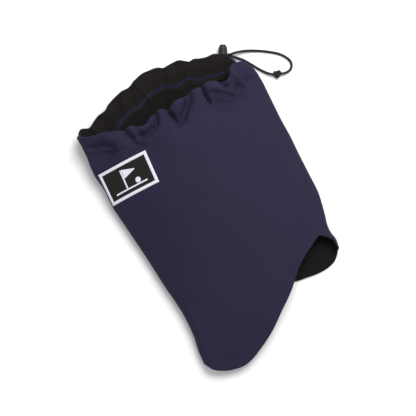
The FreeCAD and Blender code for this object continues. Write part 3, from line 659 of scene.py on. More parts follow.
# ---- what a user can change --------------------------------------------------------------------
def colour_setting(name, description, everyday):
    """A colour that a user can change, from everyday 0-255 values."""
    return bpy.props.FloatVectorProperty(name=name, description=description, subtype="COLOR",
                                         size=4, default=colour(*everyday), min=0, max=1)


def length_setting(name, description, default):
    """A length that a user can change, in metres."""
    return bpy.props.FloatProperty(name=name, description=description, default=default,
                                   unit="LENGTH")


class ClothSettings(bpy.types.PropertyGroup):
    """Sizes and colours of the tube's cloth."""
    cell: bpy.props.FloatProperty(
        name="Cell", description="Size of the cloth's mesh cells, in millimetres",
        default=1.75, min=1.2, max=6.0)
    shell: colour_setting("Soft Shell", "Colour of the outer cloth", (32, 30, 53))
    fleece: colour_setting("Fleece", "Colour of the lining and facing", (20, 17, 16))
    seam_thread: colour_setting("Seam Thread", "Colour of the sewing thread", (33, 31, 66))


class PatchSettings(bpy.types.PropertyGroup):
    """Sizes and colours of the sewn patch."""
    width: length_setting("Width", "Patch across the tube", 0.0765)
    height: length_setting("Height", "Patch along the tube", 0.0465)
    border: length_setting("Border", "Width of the satin border", 0.0045)
    ground: colour_setting("Ground", "Colour of the twill ground", (27, 25, 24))
    satin: colour_setting("Satin", "Colour of the border and emblem", (226, 224, 236))


class CordSettings(bpy.types.PropertyGroup):
    """Size and colour of the drawcord."""
    diameter: length_setting("Diameter", "Thickness of the drawcord", 0.0034)
    yarn: colour_setting("Yarn", "Colour of the braid", (34, 31, 33))


class LockSettings(bpy.types.PropertyGroup):
    """Size and colour of the cord lock."""
    ribs: bpy.props.IntProperty(
        name="Ribs", description="Grip ribs round the cup", default=20, min=6, max=40)
    plastic: colour_setting("Plastic", "Colour of the cup", (44, 41, 42))


class StageSettings(bpy.types.PropertyGroup):
    """Floor, light and camera."""
    floor: bpy.props.FloatVectorProperty(
        name="Floor", description="Colour of the floor", subtype="COLOR", size=4,
        default=(0.93, 0.93, 0.93, 1.0), min=0, max=1)
    distance: length_setting("Distance", "Camera from the object", 1.343)
    key_power: bpy.props.FloatProperty(
        name="Key Light", description="Power of the key light", default=15.5, unit="POWER")
    sky: bpy.props.FloatProperty(
        name="Sky", description="Strength of the light from all round", default=0.55)


# ---- shared, made once --------------------------------------------------------------------------
MADE = {}


def made(key, build):
    """A thing that several operators use, made the first time it is asked for."""
    if key not in MADE:
        MADE[key] = build()
    return MADE[key]


def cloth():
    """The tube's grid, shared by every sewn piece."""
    return made("cloth", lambda: Cloth(bpy.context.scene.cloth_settings.cell))


def shell_finish():
    """Navy soft-shell weave."""
    given = bpy.context.scene.cloth_settings
    return made("shell", lambda: finish(
        "Soft Shell Weave", shade(given.shell, 0.90), shade(given.shell, 1.10), weave_group(),
        {"Threads_per_Metre": 1500.0}, 0.35, 0.00012, 0.80, sheen=0.06,
        sheen_tint=colour(170, 170, 205), on_uv=True, drift=0.55))


def fleece_finish(name="Lining Fleece Painted Shade", light=0.8):
    """Black brushed fleece. The facing's copy is painted lighter where it shows in the mouth (painted
    light); the lining's copy is darker (painted shade inside the tube).
    """
    given = bpy.context.scene.cloth_settings
    return made(name, lambda: finish(
        name, shade(given.fleece, 0.62 * light), shade(given.fleece, 1.25 * light), pile_group(),
        {"Tufts_per_Metre": 800.0}, 0.8, 0.0007, 0.95, sheen=0.03,
        sheen_tint=colour(120, 112, 108), drift=0.3))


def seam_finish():
    """Navy sewing thread."""
    given = bpy.context.scene.cloth_settings
    return made("seam", lambda: finish(
        "Navy Thread", shade(given.seam_thread, 0.8), shade(given.seam_thread, 1.3), twist_group(),
        {"Strands": (2.0, 2600.0, 0.0)}, 0.6, 0.0001, 0.6, on_uv=True, drift=0.2))


# ---- the tube ------------------------------------------------------------------------------------
SHELL_HEM_TURNS = (112, 90, 60, 30)
SHELL_RIM_TURNS = (20, 40, 60, 80, 100, 120, 136, 150)
LINING_HEM_TURNS = (112, 125, 140, 155, 170)
FACING_TURNS = (132, 141, 150, 160, 170)
FACING_DEPTH = 32.5
FACING_IN = 3.6        # the facing below the channel, from the tube's outside
THREAD_IN = 3.85       # the looper thread lies on the facing
DRAWCORD_IN = 2.75
EYELETS = (79.0, 67.0)
CORD_POINTS = 420
SEAM_END, SEAM_PITCH = 4, 2.6
BALL, BALL_RADIUS = (12.5, -7.6), 3.9


def shell_layer(offset, roll_shrink):
    """The outer cloth's rows: round the hem, up the tube and over the rim."""
    tube = cloth()
    return np.concatenate([tube.roll(False, HEM_ROLL - roll_shrink, SHELL_HEM_TURNS),
                           tube.inside(offset),
                           tube.roll(True, RIM_ROLL - roll_shrink, SHELL_RIM_TURNS)], 1)


class MakePanels(bpy.types.Operator):
    """Make the front and back panels of navy soft shell"""
    bl_idname = "neckwarmer.make_panels"
    bl_label = "Outer Panels"

    def execute(self, context):
        tube = cloth()
        uv = np.concatenate([tube.roll_uv(False, SHELL_HEM_TURNS), tube.uv,
                             tube.roll_uv(True, SHELL_RIM_TURNS)], 1)
        outer, inner = shell_layer(0.0, 0.0), shell_layer(SHELL_WALL, SHELL_WALL)
        for panel in ("front", "back"):
            pick = tube.columns(panel)
            piece = cloth_wall(f"outer_cloth_{panel}", outer[pick], inner[pick], uv[pick],
                               shell_finish(), [f"outer_{panel}_panel"])
            MADE[f"shell_{panel}"] = piece
        return {"FINISHED"}


class MakeLinings(bpy.types.Operator):
    """Make the black fleece linings of both panels"""
    bl_idname = "neckwarmer.make_linings"
    bl_label = "Fleece Linings"

    def execute(self, context):
        tube = cloth()
        rows = np.flatnonzero(tube.from_rim.max(0) > CHANNEL_DEPTH + 3)
        keep = slice(1, rows[-1] + 1)
        for panel in ("front", "back"):
            pick = tube.columns(panel)
            outer = np.concatenate([tube.roll(False, HEM_ROLL - 0.75, LINING_HEM_TURNS)[pick],
                                    tube.inside(LINING_OUT)[pick][:, keep]], 1)
            inner = np.concatenate([tube.roll(False, HEM_ROLL - 0.1, LINING_HEM_TURNS)[pick],
                                    tube.inside(LINING_IN)[pick][:, keep]], 1)
            uv = np.concatenate([tube.roll_uv(False, LINING_HEM_TURNS)[pick],
                                 tube.uv[pick][:, keep]], 1)
            # The linings take the darker copy of the fleece: painted shade inside the tube and in its
            # hem openings.
            MADE[f"lining_{panel}"] = cloth_wall(
                f"fleece_lining_{panel}", outer, inner, uv, fleece_finish(),
                [f"lining_{panel}_panel"])
        return {"FINISHED"}


class MakeFacing(bpy.types.Operator):
    """Make the fleece facing inside the mouth and the stitching that holds its channel"""
    bl_idname = "neckwarmer.make_facing"
    bl_label = "Mouth Facing"

    def execute(self, context):
        tube = cloth()
        rows = np.flatnonzero(tube.from_rim.max(0) < FACING_DEPTH + 8)
        keep = slice(rows[0], None)
        down = tube.from_rim[:, keep]
        near = 2 * RIM_ROLL - (2 * RIM_ROLL - FACING_IN) * ease((down - 8) / (CHANNEL_DEPTH - 9))
        shrink = (0.8, 0.65, 0.1, 0.0, 0.0)

        def layer(inset):
            rolled = [tube.roll(True, RIM_ROLL - less - inset, (turn,))
                      for turn, less in zip(FACING_TURNS, shrink)]
            full = np.zeros(tube.from_rim.shape)
            full[:, keep] = near - inset
            return np.concatenate(rolled + [tube.inside(full)[:, keep][:, ::-1]], 1)

        uv = np.concatenate([tube.roll_uv(True, FACING_TURNS), tube.uv[:, keep][:, ::-1]], 1)
        # The facing takes a lighter copy of the same fleece: painted light on the mouth's inside.
        MADE["facing"] = cloth_wall("mouth_facing", layer(0.0), layer(FACING_WALL), uv,
                                    fleece_finish("Facing Fleece Painted Light", 1.25),
                                    ["channel_facing"], ring=True)
        self.sew(tube)
        self.run_cord(tube)
        return {"FINISHED"}

    def run_cord(self, tube):
        """The hidden drawcord, from one eyelet round the channel to the other."""
        under = np.arange(tube.right_fold, len(tube.base))
        spots = tube.base[under, -8, 0]
        first = np.interp(-EYELETS[0], -spots, under)
        last = np.interp(-EYELETS[1], -spots, under)
        column = np.linspace(first, last - len(tube.base), CORD_POINTS)
        line = tube.place(column, np.full(CORD_POINTS, CHANNEL_DEPTH / 2), DRAWCORD_IN)
        points, faces, uvs = tube_mesh(metres(line), 0.0016, 10)
        new_piece("drawcord_in_channel", points, faces, yarn_finish(),
                  stands_for=["channel_cord"], uvs=uvs)

    def sew(self, tube):
        """Looper thread waving along the inside, and two rows of needle stitches outside."""
        count = len(tube.base)
        rim_line = tube.base[:, -1]
        gone = np.concatenate([[0], np.cumsum(np.linalg.norm(np.diff(
            np.concatenate([rim_line, rim_line[:1]]), axis=0), axis=1))])
        total = gone[-1]
        steps = int(total / 0.3)
        away = np.arange(steps) * total / steps
        column = np.interp(away, gone, np.arange(count + 1))
        waves = round(total / 2.6)
        wave = np.sin(np.arange(steps) / steps * waves * 2 * math.pi)
        looper = tube.place(column, CHANNEL_DEPTH + 1.6 * np.clip(wave * 1.3, -1, 1), THREAD_IN)
        parts = [tube_mesh(metres(looper), 0.34 * MM, 5, closed=True)]
        for row in (-1.6, 1.6):
            inner_line = tube.place(column[::4], np.full(len(column[::4]), CHANNEL_DEPTH + row),
                                    THREAD_IN)
            parts.append(tube_mesh(metres(inner_line), 0.3 * MM, 5, closed=True))
        for row in (-1.6, 1.6):
            stitches = int(total / 3.0)
            for number in range(stitches):
                span = np.interp((number + np.array([0.08, 0.25, 0.5, 0.75, 0.92]))
                                 * total / stitches, gone, np.arange(count + 1))
                sunk = np.array([0.25, -0.02, -0.12, -0.02, 0.25])
                line = tube.place(span, np.full(5, CHANNEL_DEPTH + row), 0.0)
                line += tube.inward[span.astype(int) % count, -1] * sunk[:, None]
                parts.append(tube_mesh(metres(line), 0.26 * MM, 4))
        points, faces, uvs = joined(parts)
        new_piece("mouth_stitching", points, faces, seam_finish(),
                  stands_for=["channel_stitching"], uvs=uvs)


class MakeSeams(bpy.types.Operator):
    """Make the sewn threads down the two side seams"""
    bl_idname = "neckwarmer.make_seams"
    bl_label = "Seam Threads"

    def execute(self, context):
        tube = cloth()
        for name, column in (("right", tube.right_seam), ("left", tube.left_seam)):
            length = tube.from_hem[column, -1]
            stitches = int((length - 2 * SEAM_END) / SEAM_PITCH)
            parts = []
            for number in range(stitches):
                spots = number + np.array([0.1, 0.3, 0.5, 0.7, 0.9])
                down = SEAM_END + spots * (length - 2 * SEAM_END) / stitches
                sunk = np.array([0.45, 0.22, 0.14, 0.22, 0.45])
                line = tube.place(np.full(5, float(column)), down, 0.0)
                line += tube.inward[column, 5] * sunk[:, None]
                parts.append(tube_mesh(metres(line), 0.3 * MM, 6, up=-tube.inward[column, 5]))
            points, faces, uvs = joined(parts)
            new_piece(f"seam_thread_{name}", points, faces, seam_finish(),
                      stands_for=[f"{name}_seam_thread"], uvs=uvs)
        return {"FINISHED"}


# ---- the patch -----------------------------------------------------------------------------------
PATCH_MIDDLE = (-90.85, -87.0)
PATCH_TURN = math.radians(-4.5)
BACKING_TOP, GROUND_TOP = 0.35, 0.9


def on_patch(right, up, rise):
    """Points that lie on the cloth, right and up from the patch's middle, raised off it."""
    c, s = math.cos(PATCH_TURN), math.sin(PATCH_TURN)
    right, up = right * c - up * s, right * s + up * c
    y = PATCH_MIDDLE[1] + up
    levels = np.linspace(y.min() - 0.5, y.max() + 0.5, 24)
    shares = np.linspace(0, 1, 600)
    middle_way, long_top, long_under = [], [], []
    for level in levels:
        row = np.full_like(shares, level)
        x, z, _, _ = cross_section(shares, row, np.zeros(600, bool))
        way = np.concatenate([[0], np.cumsum(np.hypot(np.diff(x), np.diff(z)))])
        middle_way.append(np.interp(PATCH_MIDDLE[0], x, way))
        long_top.append(way[-1])
        x, z, _, _ = cross_section(shares, row, np.ones(600, bool))
        long_under.append(np.hypot(np.diff(x), np.diff(z)).sum())
    way = np.interp(y, levels, middle_way) + right
    under = way < 0
    share = np.where(under, -way / np.interp(y, levels, long_under),
                     way / np.interp(y, levels, long_top))
    x, z, out_x, out_z = cross_section(share, y, under)
    lifted = relief_on(x, y, share, under) + rise
    return np.stack([x + out_x * lifted, y, np.maximum(z + out_z * lifted, 0.2)], -1)


def satin_finish():
    """White satin thread of the patch."""
    given = bpy.context.scene.patch_settings
    return made("satin", lambda: finish(
        "White Satin Thread", shade(given.satin, 0.86), shade(given.satin, 1.05), twist_group(),
        {"Strands": (1400.0, 500.0, 0.0)}, 0.5, 0.0002, 0.55, sheen=0.15, on_uv=True, drift=0.2))


class MakePatch(bpy.types.Operator):
    """Make the sewn patch: stiffener, twill ground, satin border and emblem"""
    bl_idname = "neckwarmer.make_patch"
    bl_label = "Patch"

    def execute(self, context):
        given = context.scene.patch_settings
        wide, high, band = given.width / MM / 2, given.height / MM / 2, given.border / MM
        twill = finish("Black Twill", shade(given.ground, 0.75), shade(given.ground, 1.25),
                       weave_group(), {"Threads_per_Metre": 900.0, "Twill": 1.0}, 0.6, 0.0002,
                       0.75, sheen=0.02, on_uv=True, drift=0.3)
        backing = finish("Stiffener", shade(given.ground, 0.6), given.ground, pile_group(),
                         {"Tufts_per_Metre": 1500.0}, 0.4, 0.0002, 0.9)
        right, up = np.meshgrid(np.linspace(-wide + 0.3, wide - 0.3, 90),
                                np.linspace(-high + 0.3, high - 0.3, 56), indexing="ij")
        uv = np.stack([right, up], -1) * MM
        cloth_wall("patch_stiffener", on_patch(right, up, BACKING_TOP), on_patch(right, up, 0.0),
                   uv, backing, ["patch_backing"])
        MADE["patch_twill"] = cloth_wall(
            "patch_twill", on_patch(right, up, GROUND_TOP), on_patch(right, up, BACKING_TOP),
            uv, twill, ["patch_ground"])
        self.border(wide, high, band)
        self.emblem()
        return {"FINISHED"}

    def border(self, wide, high, band):
        """A domed band of slanting satin stitches round the edge."""
        corners = np.array([(-1, -1), (1, -1), (1, 1), (-1, 1), (-1, -1)], float)
        counts = [round(2 * wide / 0.5), round(2 * high / 0.5)] * 2
        walk = np.concatenate([corners[i] + (corners[i + 1] - corners[i])
                               * np.arange(count)[:, None] / count
                               for i, count in enumerate(counts)])
        across = np.linspace(-1, 1, 11)
        inset = (across + 1) / 2 * band
        right = walk[:, :1] * (wide - inset)
        up = walk[:, 1:] * (high - inset)
        edge = walk * np.array([wide, high])
        steps = np.linalg.norm(np.roll(edge, -1, 0) - edge, axis=1)
        gone = np.concatenate([[0], np.cumsum(steps)[:-1]])
        total = steps.sum()
        ribs = round(total / 2.2)
        phase = gone[:, None] / total * ribs + inset / 2.6
        rib = np.abs(np.sin(phase * math.pi))
        dome = np.sqrt(np.maximum(1 - across ** 2, 0)) ** 0.7
        rise = 0.55 + dome * (0.72 + 0.26 * rib)
        uv = np.stack([np.repeat(gone[:, None], 11, 1), np.repeat(inset[None], len(gone), 0)],
                      -1) * MM
        cloth_wall("patch_satin_border", on_patch(right, up, rise),
                   on_patch(right, up, 0.25 * np.ones_like(rise)), uv, satin_finish(),
                   ["patch_border"], ring=True)

    def emblem(self):
        """A flag on its pole, a ball and the ground line in satin stitch."""
        def sheet(corners, rows, cols):
            a, b = np.meshgrid(np.linspace(0, 1, rows), np.linspace(0, 1, cols), indexing="ij")
            c = np.array(corners, float)
            spot = ((1 - a) * (1 - b))[..., None] * c[0] + (a * (1 - b))[..., None] * c[1] \
                + (a * b)[..., None] * c[2] + ((1 - a) * b)[..., None] * c[3]
            edge = 1 - np.maximum(np.abs(2 * a - 1) ** 6, np.abs(2 * b - 1) ** 6)
            return spot, edge

        a, b = np.meshgrid(np.linspace(-1, 1, 15), np.linspace(-1, 1, 15), indexing="ij")
        reach = np.maximum(np.abs(a), np.abs(b))
        length = np.maximum(np.hypot(a, b), 1e-9)
        ball = np.stack([BALL[0] + BALL_RADIUS * a / length * reach,
                         BALL[1] + BALL_RADIUS * b / length * reach], -1)
        shapes = [sheet([(-25, -14.2), (25, -14.2), (25, -12), (-25, -12)], 101, 7),
                  sheet([(-7.2, -11.7), (-5, -11.7), (-5, 14.5), (-7.2, 14.5)], 7, 53),
                  sheet([(-4.6, 2), (14, 7.7), (14, 8.7), (-4.6, 14.5)], 39, 25),
                  (ball, 1 - reach ** 4)]
        parts = []
        for spot, edge in shapes:
            ridge = np.abs(np.sin((spot[..., 0] * 0.6 + spot[..., 1]) * math.pi / 1.1))
            rise = GROUND_TOP + 0.12 + edge * (0.34 + 0.14 * ridge)
            outer = on_patch(spot[..., 0], spot[..., 1], rise)
            inner = on_patch(spot[..., 0], spot[..., 1], np.full_like(rise, GROUND_TOP - 0.1))
            parts.append(wall_mesh(outer, inner, spot * MM))
        points, faces, uvs = joined(parts)
        new_piece("patch_satin_emblem", points, faces, satin_finish(),
                  stands_for=["patch_emblem"], uvs=uvs)


# ---- the drawcord --------------------------------------------------------------------------------
UPPER_ROUTE = [(79, 11, 17.6), (80.5, 11, 7.875), (95.6, 21.85, 7.875),
               (105.7, 16.31, 7.875), (119.3, 8.85, 7.875),
               (129, 8.5, 6.0), (143.5, 4.5, 3.2), (158, -3, 2.0), (172, -12.5, 1.9),
               (184.5, -23, 1.85), (192.5, -37.5, 2.0), (189.5, -48, 2.7), (179.5, -52.5, 3.8),
               (170.5, -49.8, 4.9)]
LOWER_ROUTE = [(67, 13.5, 17.9), (68.5, 13.5, 4.325), (84, 18.5, 4.325), (95.6, 21.85, 4.325),
               (105.7, 16.31, 4.325), (119.3, 8.85, 4.325), (125.5, 3, 4.0), (134.5, -6.5, 2.9),
               (142, -19.5, 2.0), (149, -32, 2.0), (155.5, -41, 3.4), (161.2, -46.2, 4.9)]
KNOT_MIDDLE = (165.2, -47.8, 4.9)
KNOT_SINK = 0.6        # the tied loop sits this far below the knot's middle
LOCK_AXIS = Vector((0.48, 0.877, 0)).normalized()
CORD_WAY = Vector((0.877, -0.48, 0)).normalized()
CROSSING = (111.0, 13.4, 6.1)


def route_line(points):
    """The points that a smooth cord follows, read from its spline."""
    data = bpy.data.curves.new("route", "CURVE")
    data.dimensions = "3D"
    data.resolution_u = 40
    spline = data.splines.new("NURBS")
    spline.points.add(len(points) - 1)
    for point, place in zip(spline.points, metres(points)):
        point.co = (*place, 1.0)
    spline.order_u = 3
    spline.use_endpoint_u = True
    route = bpy.data.objects.new("route", data)
    bpy.context.scene.collection.objects.link(route)
    mesh = bpy.data.meshes.new_from_object(route)
    line = np.array([vertex.co[:] for vertex in mesh.vertices])
    bpy.data.objects.remove(route)
    bpy.data.meshes.remove(mesh)
    return line


def braid(turn, gone):
    """Six strands each way round a cord, over and under."""
    one = np.cos(6 * turn + gone * 2 * math.pi / 0.0042)
    other = np.cos(6 * turn - gone * 2 * math.pi / 0.0042)
    return 1 + 0.05 * np.maximum(one, other) - 0.035


def yarn_finish():
    """Black braided elastic cord."""
    given = bpy.context.scene.cord_settings
    return made("yarn", lambda: finish(
        "Braided Yarn", shade(given.yarn, 0.7), shade(given.yarn, 1.4), twist_group(),
        {"Strands": (12.0, 1500.0, 0.0)}, 0.6, 0.0002, 0.7, sheen=0.1, on_uv=True, drift=0.2))


class MakeCords(bpy.types.Operator):
    """Make the two braided strands of the drawcord and the knot at their ends"""
    bl_idname = "neckwarmer.make_cords"
    bl_label = "Drawcord"

    def execute(self, context):
        radius = context.scene.cord_settings.diameter / 2
        turn = np.linspace(0, 2 * math.pi, 150, endpoint=False)
        loop = np.stack([np.sin(turn) + 2 * np.sin(2 * turn),
                         np.cos(turn) - 2 * np.cos(2 * turn) + 0.5, -1.35 * np.sin(3 * turn)], -1)
        loop = loop * np.array([1.45, 1.3, 1.45])
        axes = np.array([CORD_WAY[:], LOCK_AXIS[:], (0, 0, 1)])
        knot_line = metres(loop @ axes + np.array(KNOT_MIDDLE) - np.array([0, 0, KNOT_SINK]))
        points, faces, uvs = tube_mesh(knot_line, radius * 1.3, 16, closed=True, relief=braid)
        knot = new_piece("drawcord_knot", points, faces, yarn_finish(),
                         stands_for=["cord_knot"], uvs=uvs)
        for name, route, length, carried in (
                ("upper", UPPER_ROUTE, 0.1731, [knot]), ("lower", LOWER_ROUTE, 0.1363, [])):
            line = route_line(route)
            points, faces, uvs = tube_mesh(line, radius, 24, up=(0.1, 0.2, 1), relief=braid)
            strand = new_piece(f"drawcord_{name}", points, faces, yarn_finish(),
                               stands_for=[f"cord_{name}_strand"], uvs=uvs)
            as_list(carried)
        return {"FINISHED"}


# ---- the cord lock -------------------------------------------------------------------------------
def grain_group():
    """Fine moulded grain with a few handling marks."""
    def build(nodes, given):
        grain = nodes.add("ShaderNodeTexNoise", Vector=given["Place"], Scale=given["Grains per Metre"],
                          Detail=2.0).outputs[0]
        rub = nodes.add("ShaderNodeTexNoise", Vector=given["Place"], Scale=220.0,
                        Detail=4.0).outputs[0]
        return grain, rub
    return node_group("Moulded Grain", [("Place", VECTOR, None), ("Grains per Metre", FLOAT, 2600.0)],
                      [("Height", FLOAT), ("Shade", FLOAT)], build)


def start_editing(piece):
    """Open one piece in edit mode with nothing picked."""
    if bpy.context.object and bpy.context.object.mode == "EDIT":
        bpy.ops.object.mode_set(mode="OBJECT")
    bpy.ops.object.select_all(action="DESELECT")
    piece.select_set(True)
    bpy.context.view_layer.objects.active = piece
    bpy.ops.object.mode_set(mode="EDIT")
    bpy.ops.mesh.select_all(action="DESELECT")


def pick(piece, faces=None, edges=None):
    """Pick faces or edges of the piece in edit mode by a test on each."""
    bpy.ops.mesh.select_mode(type="FACE" if faces else "EDGE")
    bpy.ops.mesh.select_all(action="DESELECT")
    work = bmesh.from_edit_mesh(piece.data)
    for item in (work.faces if faces else work.edges):
        item.select_set(bool((faces or edges)(item)))
    work.select_flush_mode()
    bmesh.update_edit_mesh(piece.data)


def round_rod(name, radius, low, high, sides):
    """A plain rod standing on the origin's axis, ready to be shaped."""
    bpy.ops.object.select_all(action="DESELECT")
    bpy.ops.mesh.primitive_cylinder_add(vertices=sides, radius=radius * MM,
                                        depth=(high - low) * MM,
                                        location=(0, 0, (low + high) / 2 * MM))
    rod = bpy.context.object
    rod.name = rod.data.name = name
    bpy.ops.object.transform_apply(location=True, rotation=True, scale=True)
    return rod


def edge_at(height, radius):
    """A test for the edges round a rod at a height and radius."""
    def test(edge):
        return all(abs(v.co.z - height * MM) < 2e-5 and abs(v.co.xy.length - radius * MM) < 2e-4
                   for v in edge.verts)
    return test


def cut_slot(piece, low, high, half):
    """Cut the cords' way through a piece."""
    bpy.ops.object.mode_set(mode="OBJECT")
    bpy.ops.object.select_all(action="DESELECT")
    bpy.ops.mesh.primitive_cube_add(size=1, location=(0, 0, (low + high) / 2 * MM))
    block = bpy.context.object
    block.scale = (24 * MM, 2 * half * MM, (high - low) * MM)
    bpy.ops.object.transform_apply(location=True, rotation=True, scale=True)
    rounding = block.modifiers.new("round", "BEVEL")
    rounding.width, rounding.segments = 1.1 * MM, 4
    bpy.ops.object.modifier_apply(modifier="round")
    bpy.ops.object.select_all(action="DESELECT")
    piece.select_set(True)
    bpy.context.view_layer.objects.active = piece
    cutting = piece.modifiers.new("slot", "BOOLEAN")
    cutting.operation, cutting.object, cutting.solver = "DIFFERENCE", block, "EXACT"
    bpy.ops.object.modifier_apply(modifier="slot")
    bpy.data.objects.remove(block)


def lay_down(piece):
    """Turn a finished lock part from standing to its place on the cords."""
    turn = Matrix((CORD_WAY, Vector((0, 0, -1)), LOCK_AXIS)).transposed().to_4x4()
    piece.data.transform(Matrix.Translation(Vector(metres(CROSSING))) @ turn)
    bpy.ops.object.shade_smooth_by_angle(angle=math.radians(32))


CUP_RADIUS, CUP_LOW, CUP_HIGH, CUP_WALL = 6.1, -8.8, 11.5, 0.9
SLOT_HALF, SLOT_REACH = 2.1, 3.85
BUTTON_FOOT, BUTTON_PROUD, BUTTON_PLAY = -3.05, 3.0, 0.25
RIBS_LOW, RIBS_HIGH = -5.6, 8.6


class MakeLock(bpy.types.Operator):
    """Make the cord lock's ribbed cup and its sprung button"""
    bl_idname = "neckwarmer.make_lock"
    bl_label = "Cord Lock"

    def execute(self, context):
        given = context.scene.lock_settings
        plastic = finish("Moulded Plastic", shade(given.plastic, 0.85), shade(given.plastic, 1.15),
                         grain_group(), {"Grains_per_Metre": 2600.0}, 0.15, 0.0001, 0.42)
        dark = finish("Button Plastic", shade(given.plastic, 0.55), shade(given.plastic, 0.8),
                      grain_group(), {"Grains_per_Metre": 2600.0}, 0.15, 0.0001, 0.38)
        self.cup(given.ribs, plastic)
        self.button(dark)
        return {"FINISHED"}

    def cup(self, ribs, plastic):
        sides = ribs * 4
        cup = round_rod("lock_cup", CUP_RADIUS, CUP_LOW, CUP_HIGH, sides)
        start_editing(cup)
        pick(cup, edges=edge_at(CUP_LOW, CUP_RADIUS))
        bpy.ops.mesh.bevel(offset=1.2 * MM, segments=5)
        pick(cup, faces=lambda face: face.normal.z > 0.9)
        bpy.ops.mesh.inset(thickness=CUP_WALL * MM)
        bpy.ops.mesh.extrude_region_move(
            TRANSFORM_OT_translate={"value": (0, 0, -(CUP_HIGH - CUP_LOW - CUP_WALL) * MM)})
        pick(cup, edges=edge_at(CUP_HIGH, CUP_RADIUS))
        bpy.ops.mesh.bevel(offset=0.3 * MM, segments=3)
        for level in (RIBS_LOW, RIBS_HIGH):
            bpy.ops.mesh.select_all(action="SELECT")
            bpy.ops.mesh.bisect(plane_co=(0, 0, level * MM), plane_no=(0, 0, 1))

        def hollow(face):
            middle = face.calc_center_median()
            turn = math.atan2(middle.y, middle.x) / (2 * math.pi) % 1 * ribs
            return (RIBS_LOW * MM < middle.z < RIBS_HIGH * MM and face.normal.z ** 2 < 0.01
                    and middle.xy.length > 5.6 * MM and turn % 1 < 0.5)
        pick(cup, faces=hollow)
        bpy.ops.mesh.inset(thickness=0.14 * MM)
        bpy.ops.transform.shrink_fatten(value=0.28 * MM)
        bpy.ops.object.mode_set(mode="OBJECT")
        cut_slot(cup, -SLOT_HALF, SLOT_HALF, SLOT_REACH)
        lay_down(cup)
        settle(cup, plastic, "lock", ["lock_body"])

    def button(self, dark):
        low, high = BUTTON_FOOT, CUP_HIGH + BUTTON_PROUD
        radius = CUP_RADIUS - CUP_WALL - BUTTON_PLAY
        button = round_rod("lock_button", radius, low, high, 64)
        start_editing(button)
        pick(button, edges=edge_at(high, radius))
        bpy.ops.mesh.bevel(offset=0.5 * MM, segments=4)
        pick(button, faces=lambda face: face.normal.z > 0.9
             and face.calc_center_median().xy.length < 0.1 * MM)
        bpy.ops.mesh.inset(thickness=0.7 * MM)
        bpy.ops.mesh.inset(thickness=0.5 * MM, depth=-0.3 * MM)
        pick(button, edges=edge_at(low, radius))
        bpy.ops.mesh.bevel(offset=0.3 * MM, segments=2)
        bpy.ops.object.mode_set(mode="OBJECT")
        cut_slot(button, -SLOT_HALF, SLOT_HALF + 2.75, SLOT_REACH)
        lay_down(button)
        settle(button, dark, "plunger", ["lock_plunger"])


# ---- parts kept from the frame -------------------------------------------------------------------
class FinishKept(bpy.types.Operator):
    """Give the eyelets, their washers and the spring their materials"""
    bl_idname = "neckwarmer.finish_kept"
    bl_label = "Eyelets and Spring"

    def execute(self, context):
        brass = finish("Blackened Brass", colour(50, 46, 42), colour(96, 88, 78), grain_group(),
                       {"Grains_per_Metre": 1400.0}, 0.15, 0.0001, 0.36, metallic=1.0)
        steel = finish("Spring Steel", colour(150, 150, 152), colour(205, 205, 208), grain_group(),
                       {"Grains_per_Metre": 3000.0}, 0.1, 0.00005, 0.28, metallic=1.0)
        for names, material in ((("upper_eyelet", "upper_eyelet_washer", "lower_eyelet",
                                  "lower_eyelet_washer"), brass), (("lock_spring",), steel)):
            for name in names:
                node = bpy.data.objects[name]
                if not node.material_slots:
                    node.data.materials.append(material)
                for slot in node.material_slots:
                    slot.material = material
        return {"FINISHED"}


class DeclareCloth(bpy.types.Operator):
    """Run through the cut size of each sheet of cloth before it was sewn; nothing is set or kept"""
    bl_idname = "neckwarmer.declare_cloth"
    bl_label = "Cut Sizes"

    def execute(self, context):
        shell_back, shell_front = MADE["shell_back"], MADE["shell_front"]
        for key, flat, under in (
                ("shell_back", (0.165, 0.355), ()), ("shell_front", (0.40, 0.42), (shell_back,)),
                ("lining_back", (0.16, 0.33), (shell_back,)),
                ("lining_front", (0.395, 0.39), (shell_front,)),
                ("facing", (0.58, 0.05), (shell_back,)),
                ("patch_twill", (0.0765, 0.0465), (shell_front,))):
            list(under)
        return {"FINISHED"}


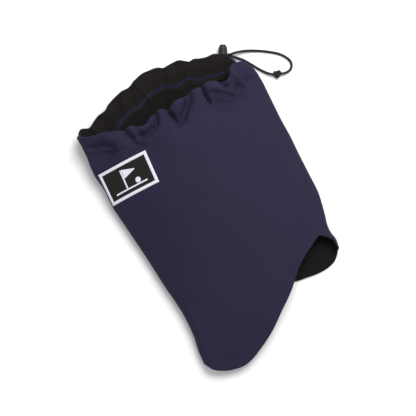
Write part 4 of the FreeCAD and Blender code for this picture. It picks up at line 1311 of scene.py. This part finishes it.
# ---- the stage -----------------------------------------------------------------------------------
class SetStage(bpy.types.Operator):
    """Lay the pale floor, light it softly and place the camera"""
    bl_idname = "neckwarmer.set_stage"
    bl_label = "Stage"

    def execute(self, context):
        given = context.scene.stage_settings
        bpy.ops.object.select_all(action="DESELECT")
        bpy.ops.mesh.primitive_plane_add(size=8, location=(0, 0, -0.0003))
        floor = context.object
        floor.name = "floor"
        paper = finish("Floor Paper", given.floor, given.floor, grain_group(),
                       {"Grains_per_Metre": 400.0}, 0.02, 0.0001, 0.9, drift=0.1)
        floor.data.materials.append(paper)

        target = Vector((-0.0195, -0.0015, 0.015))
        elevation = math.radians(80)
        look = Vector((0.48, 0.877, 0)).normalized() * math.cos(elevation) \
            - Vector((0, 0, math.sin(elevation)))
        data = bpy.data.cameras.new("camera")
        data.lens, data.sensor_width = 85, 36
        camera = bpy.data.objects.new("camera", data)
        context.scene.collection.objects.link(camera)
        camera.location = target - look * given.distance
        camera.rotation_euler = look.to_track_quat("-Z", "Y").to_euler()
        context.scene.camera = camera

        def lamp(name, way, away, size, power):
            data = bpy.data.lights.new(name, "AREA")
            data.shape, data.size, data.energy = "DISK", size, power
            lamp = bpy.data.objects.new(name, data)
            context.scene.collection.objects.link(lamp)
            way = Vector(way).normalized()
            lamp.location = target + way * away
            lamp.rotation_euler = (-way).to_track_quat("-Z", "Y").to_euler()

        lamp("key", (0.56, 0.34, 1.2), 1.3, 0.9, given.key_power)
        lamp("fill", (-0.2, -0.9, 1.0), 2.0, 1.6, given.key_power * 0.22)
        world = bpy.data.worlds.new("studio")
        world.use_nodes = True
        sky = world.node_tree.nodes["Background"]
        sky.inputs["Color"].default_value = (1, 1, 1, 1)
        sky.inputs["Strength"].default_value = given.sky
        context.scene.world = world
        context.scene.view_settings.view_transform = "Standard"
        return {"FINISHED"}


OPERATORS = (SetStage, MakeCords, MakePanels, MakeLinings, MakeFacing, MakeSeams, MakePatch,
             MakeLock, FinishKept, DeclareCloth)
SETTINGS = {"cloth_settings": ClothSettings, "patch_settings": PatchSettings,
            "cord_settings": CordSettings, "lock_settings": LockSettings,
            "stage_settings": StageSettings}


class NeckWarmerPanel(bpy.types.Panel):
    """The neck warmer's sizes, colours and steps"""
    bl_idname = "VIEW3D_PT_neck_warmer"
    bl_label = "Golf Neck Warmer"
    bl_space_type = "VIEW_3D"
    bl_region_type = "UI"
    bl_category = "Neck Warmer"

    def draw(self, context):
        for name, group in SETTINGS.items():
            box = self.layout.box()
            for prop in group.__annotations__:
                box.prop(getattr(context.scene, name), prop)
        for operator in OPERATORS:
            self.layout.operator(operator.bl_idname)


def register():
    for group in SETTINGS.values():
        bpy.utils.register_class(group)
    for item in (*OPERATORS, NeckWarmerPanel):
        bpy.utils.register_class(item)
    for name, group in SETTINGS.items():
        setattr(bpy.types.Scene, name, bpy.props.PointerProperty(type=group))


def unregister():
    for name in SETTINGS:
        delattr(bpy.types.Scene, name)
    for item in (NeckWarmerPanel, *reversed(OPERATORS), *SETTINGS.values()):
        bpy.utils.unregister_class(item)


def main():
    """Make every piece in order."""
    register()
    for operator in OPERATORS:
        group, name = operator.bl_idname.split(".")
        getattr(getattr(bpy.ops, group), name)()


if __name__ == "__main__":
    main()
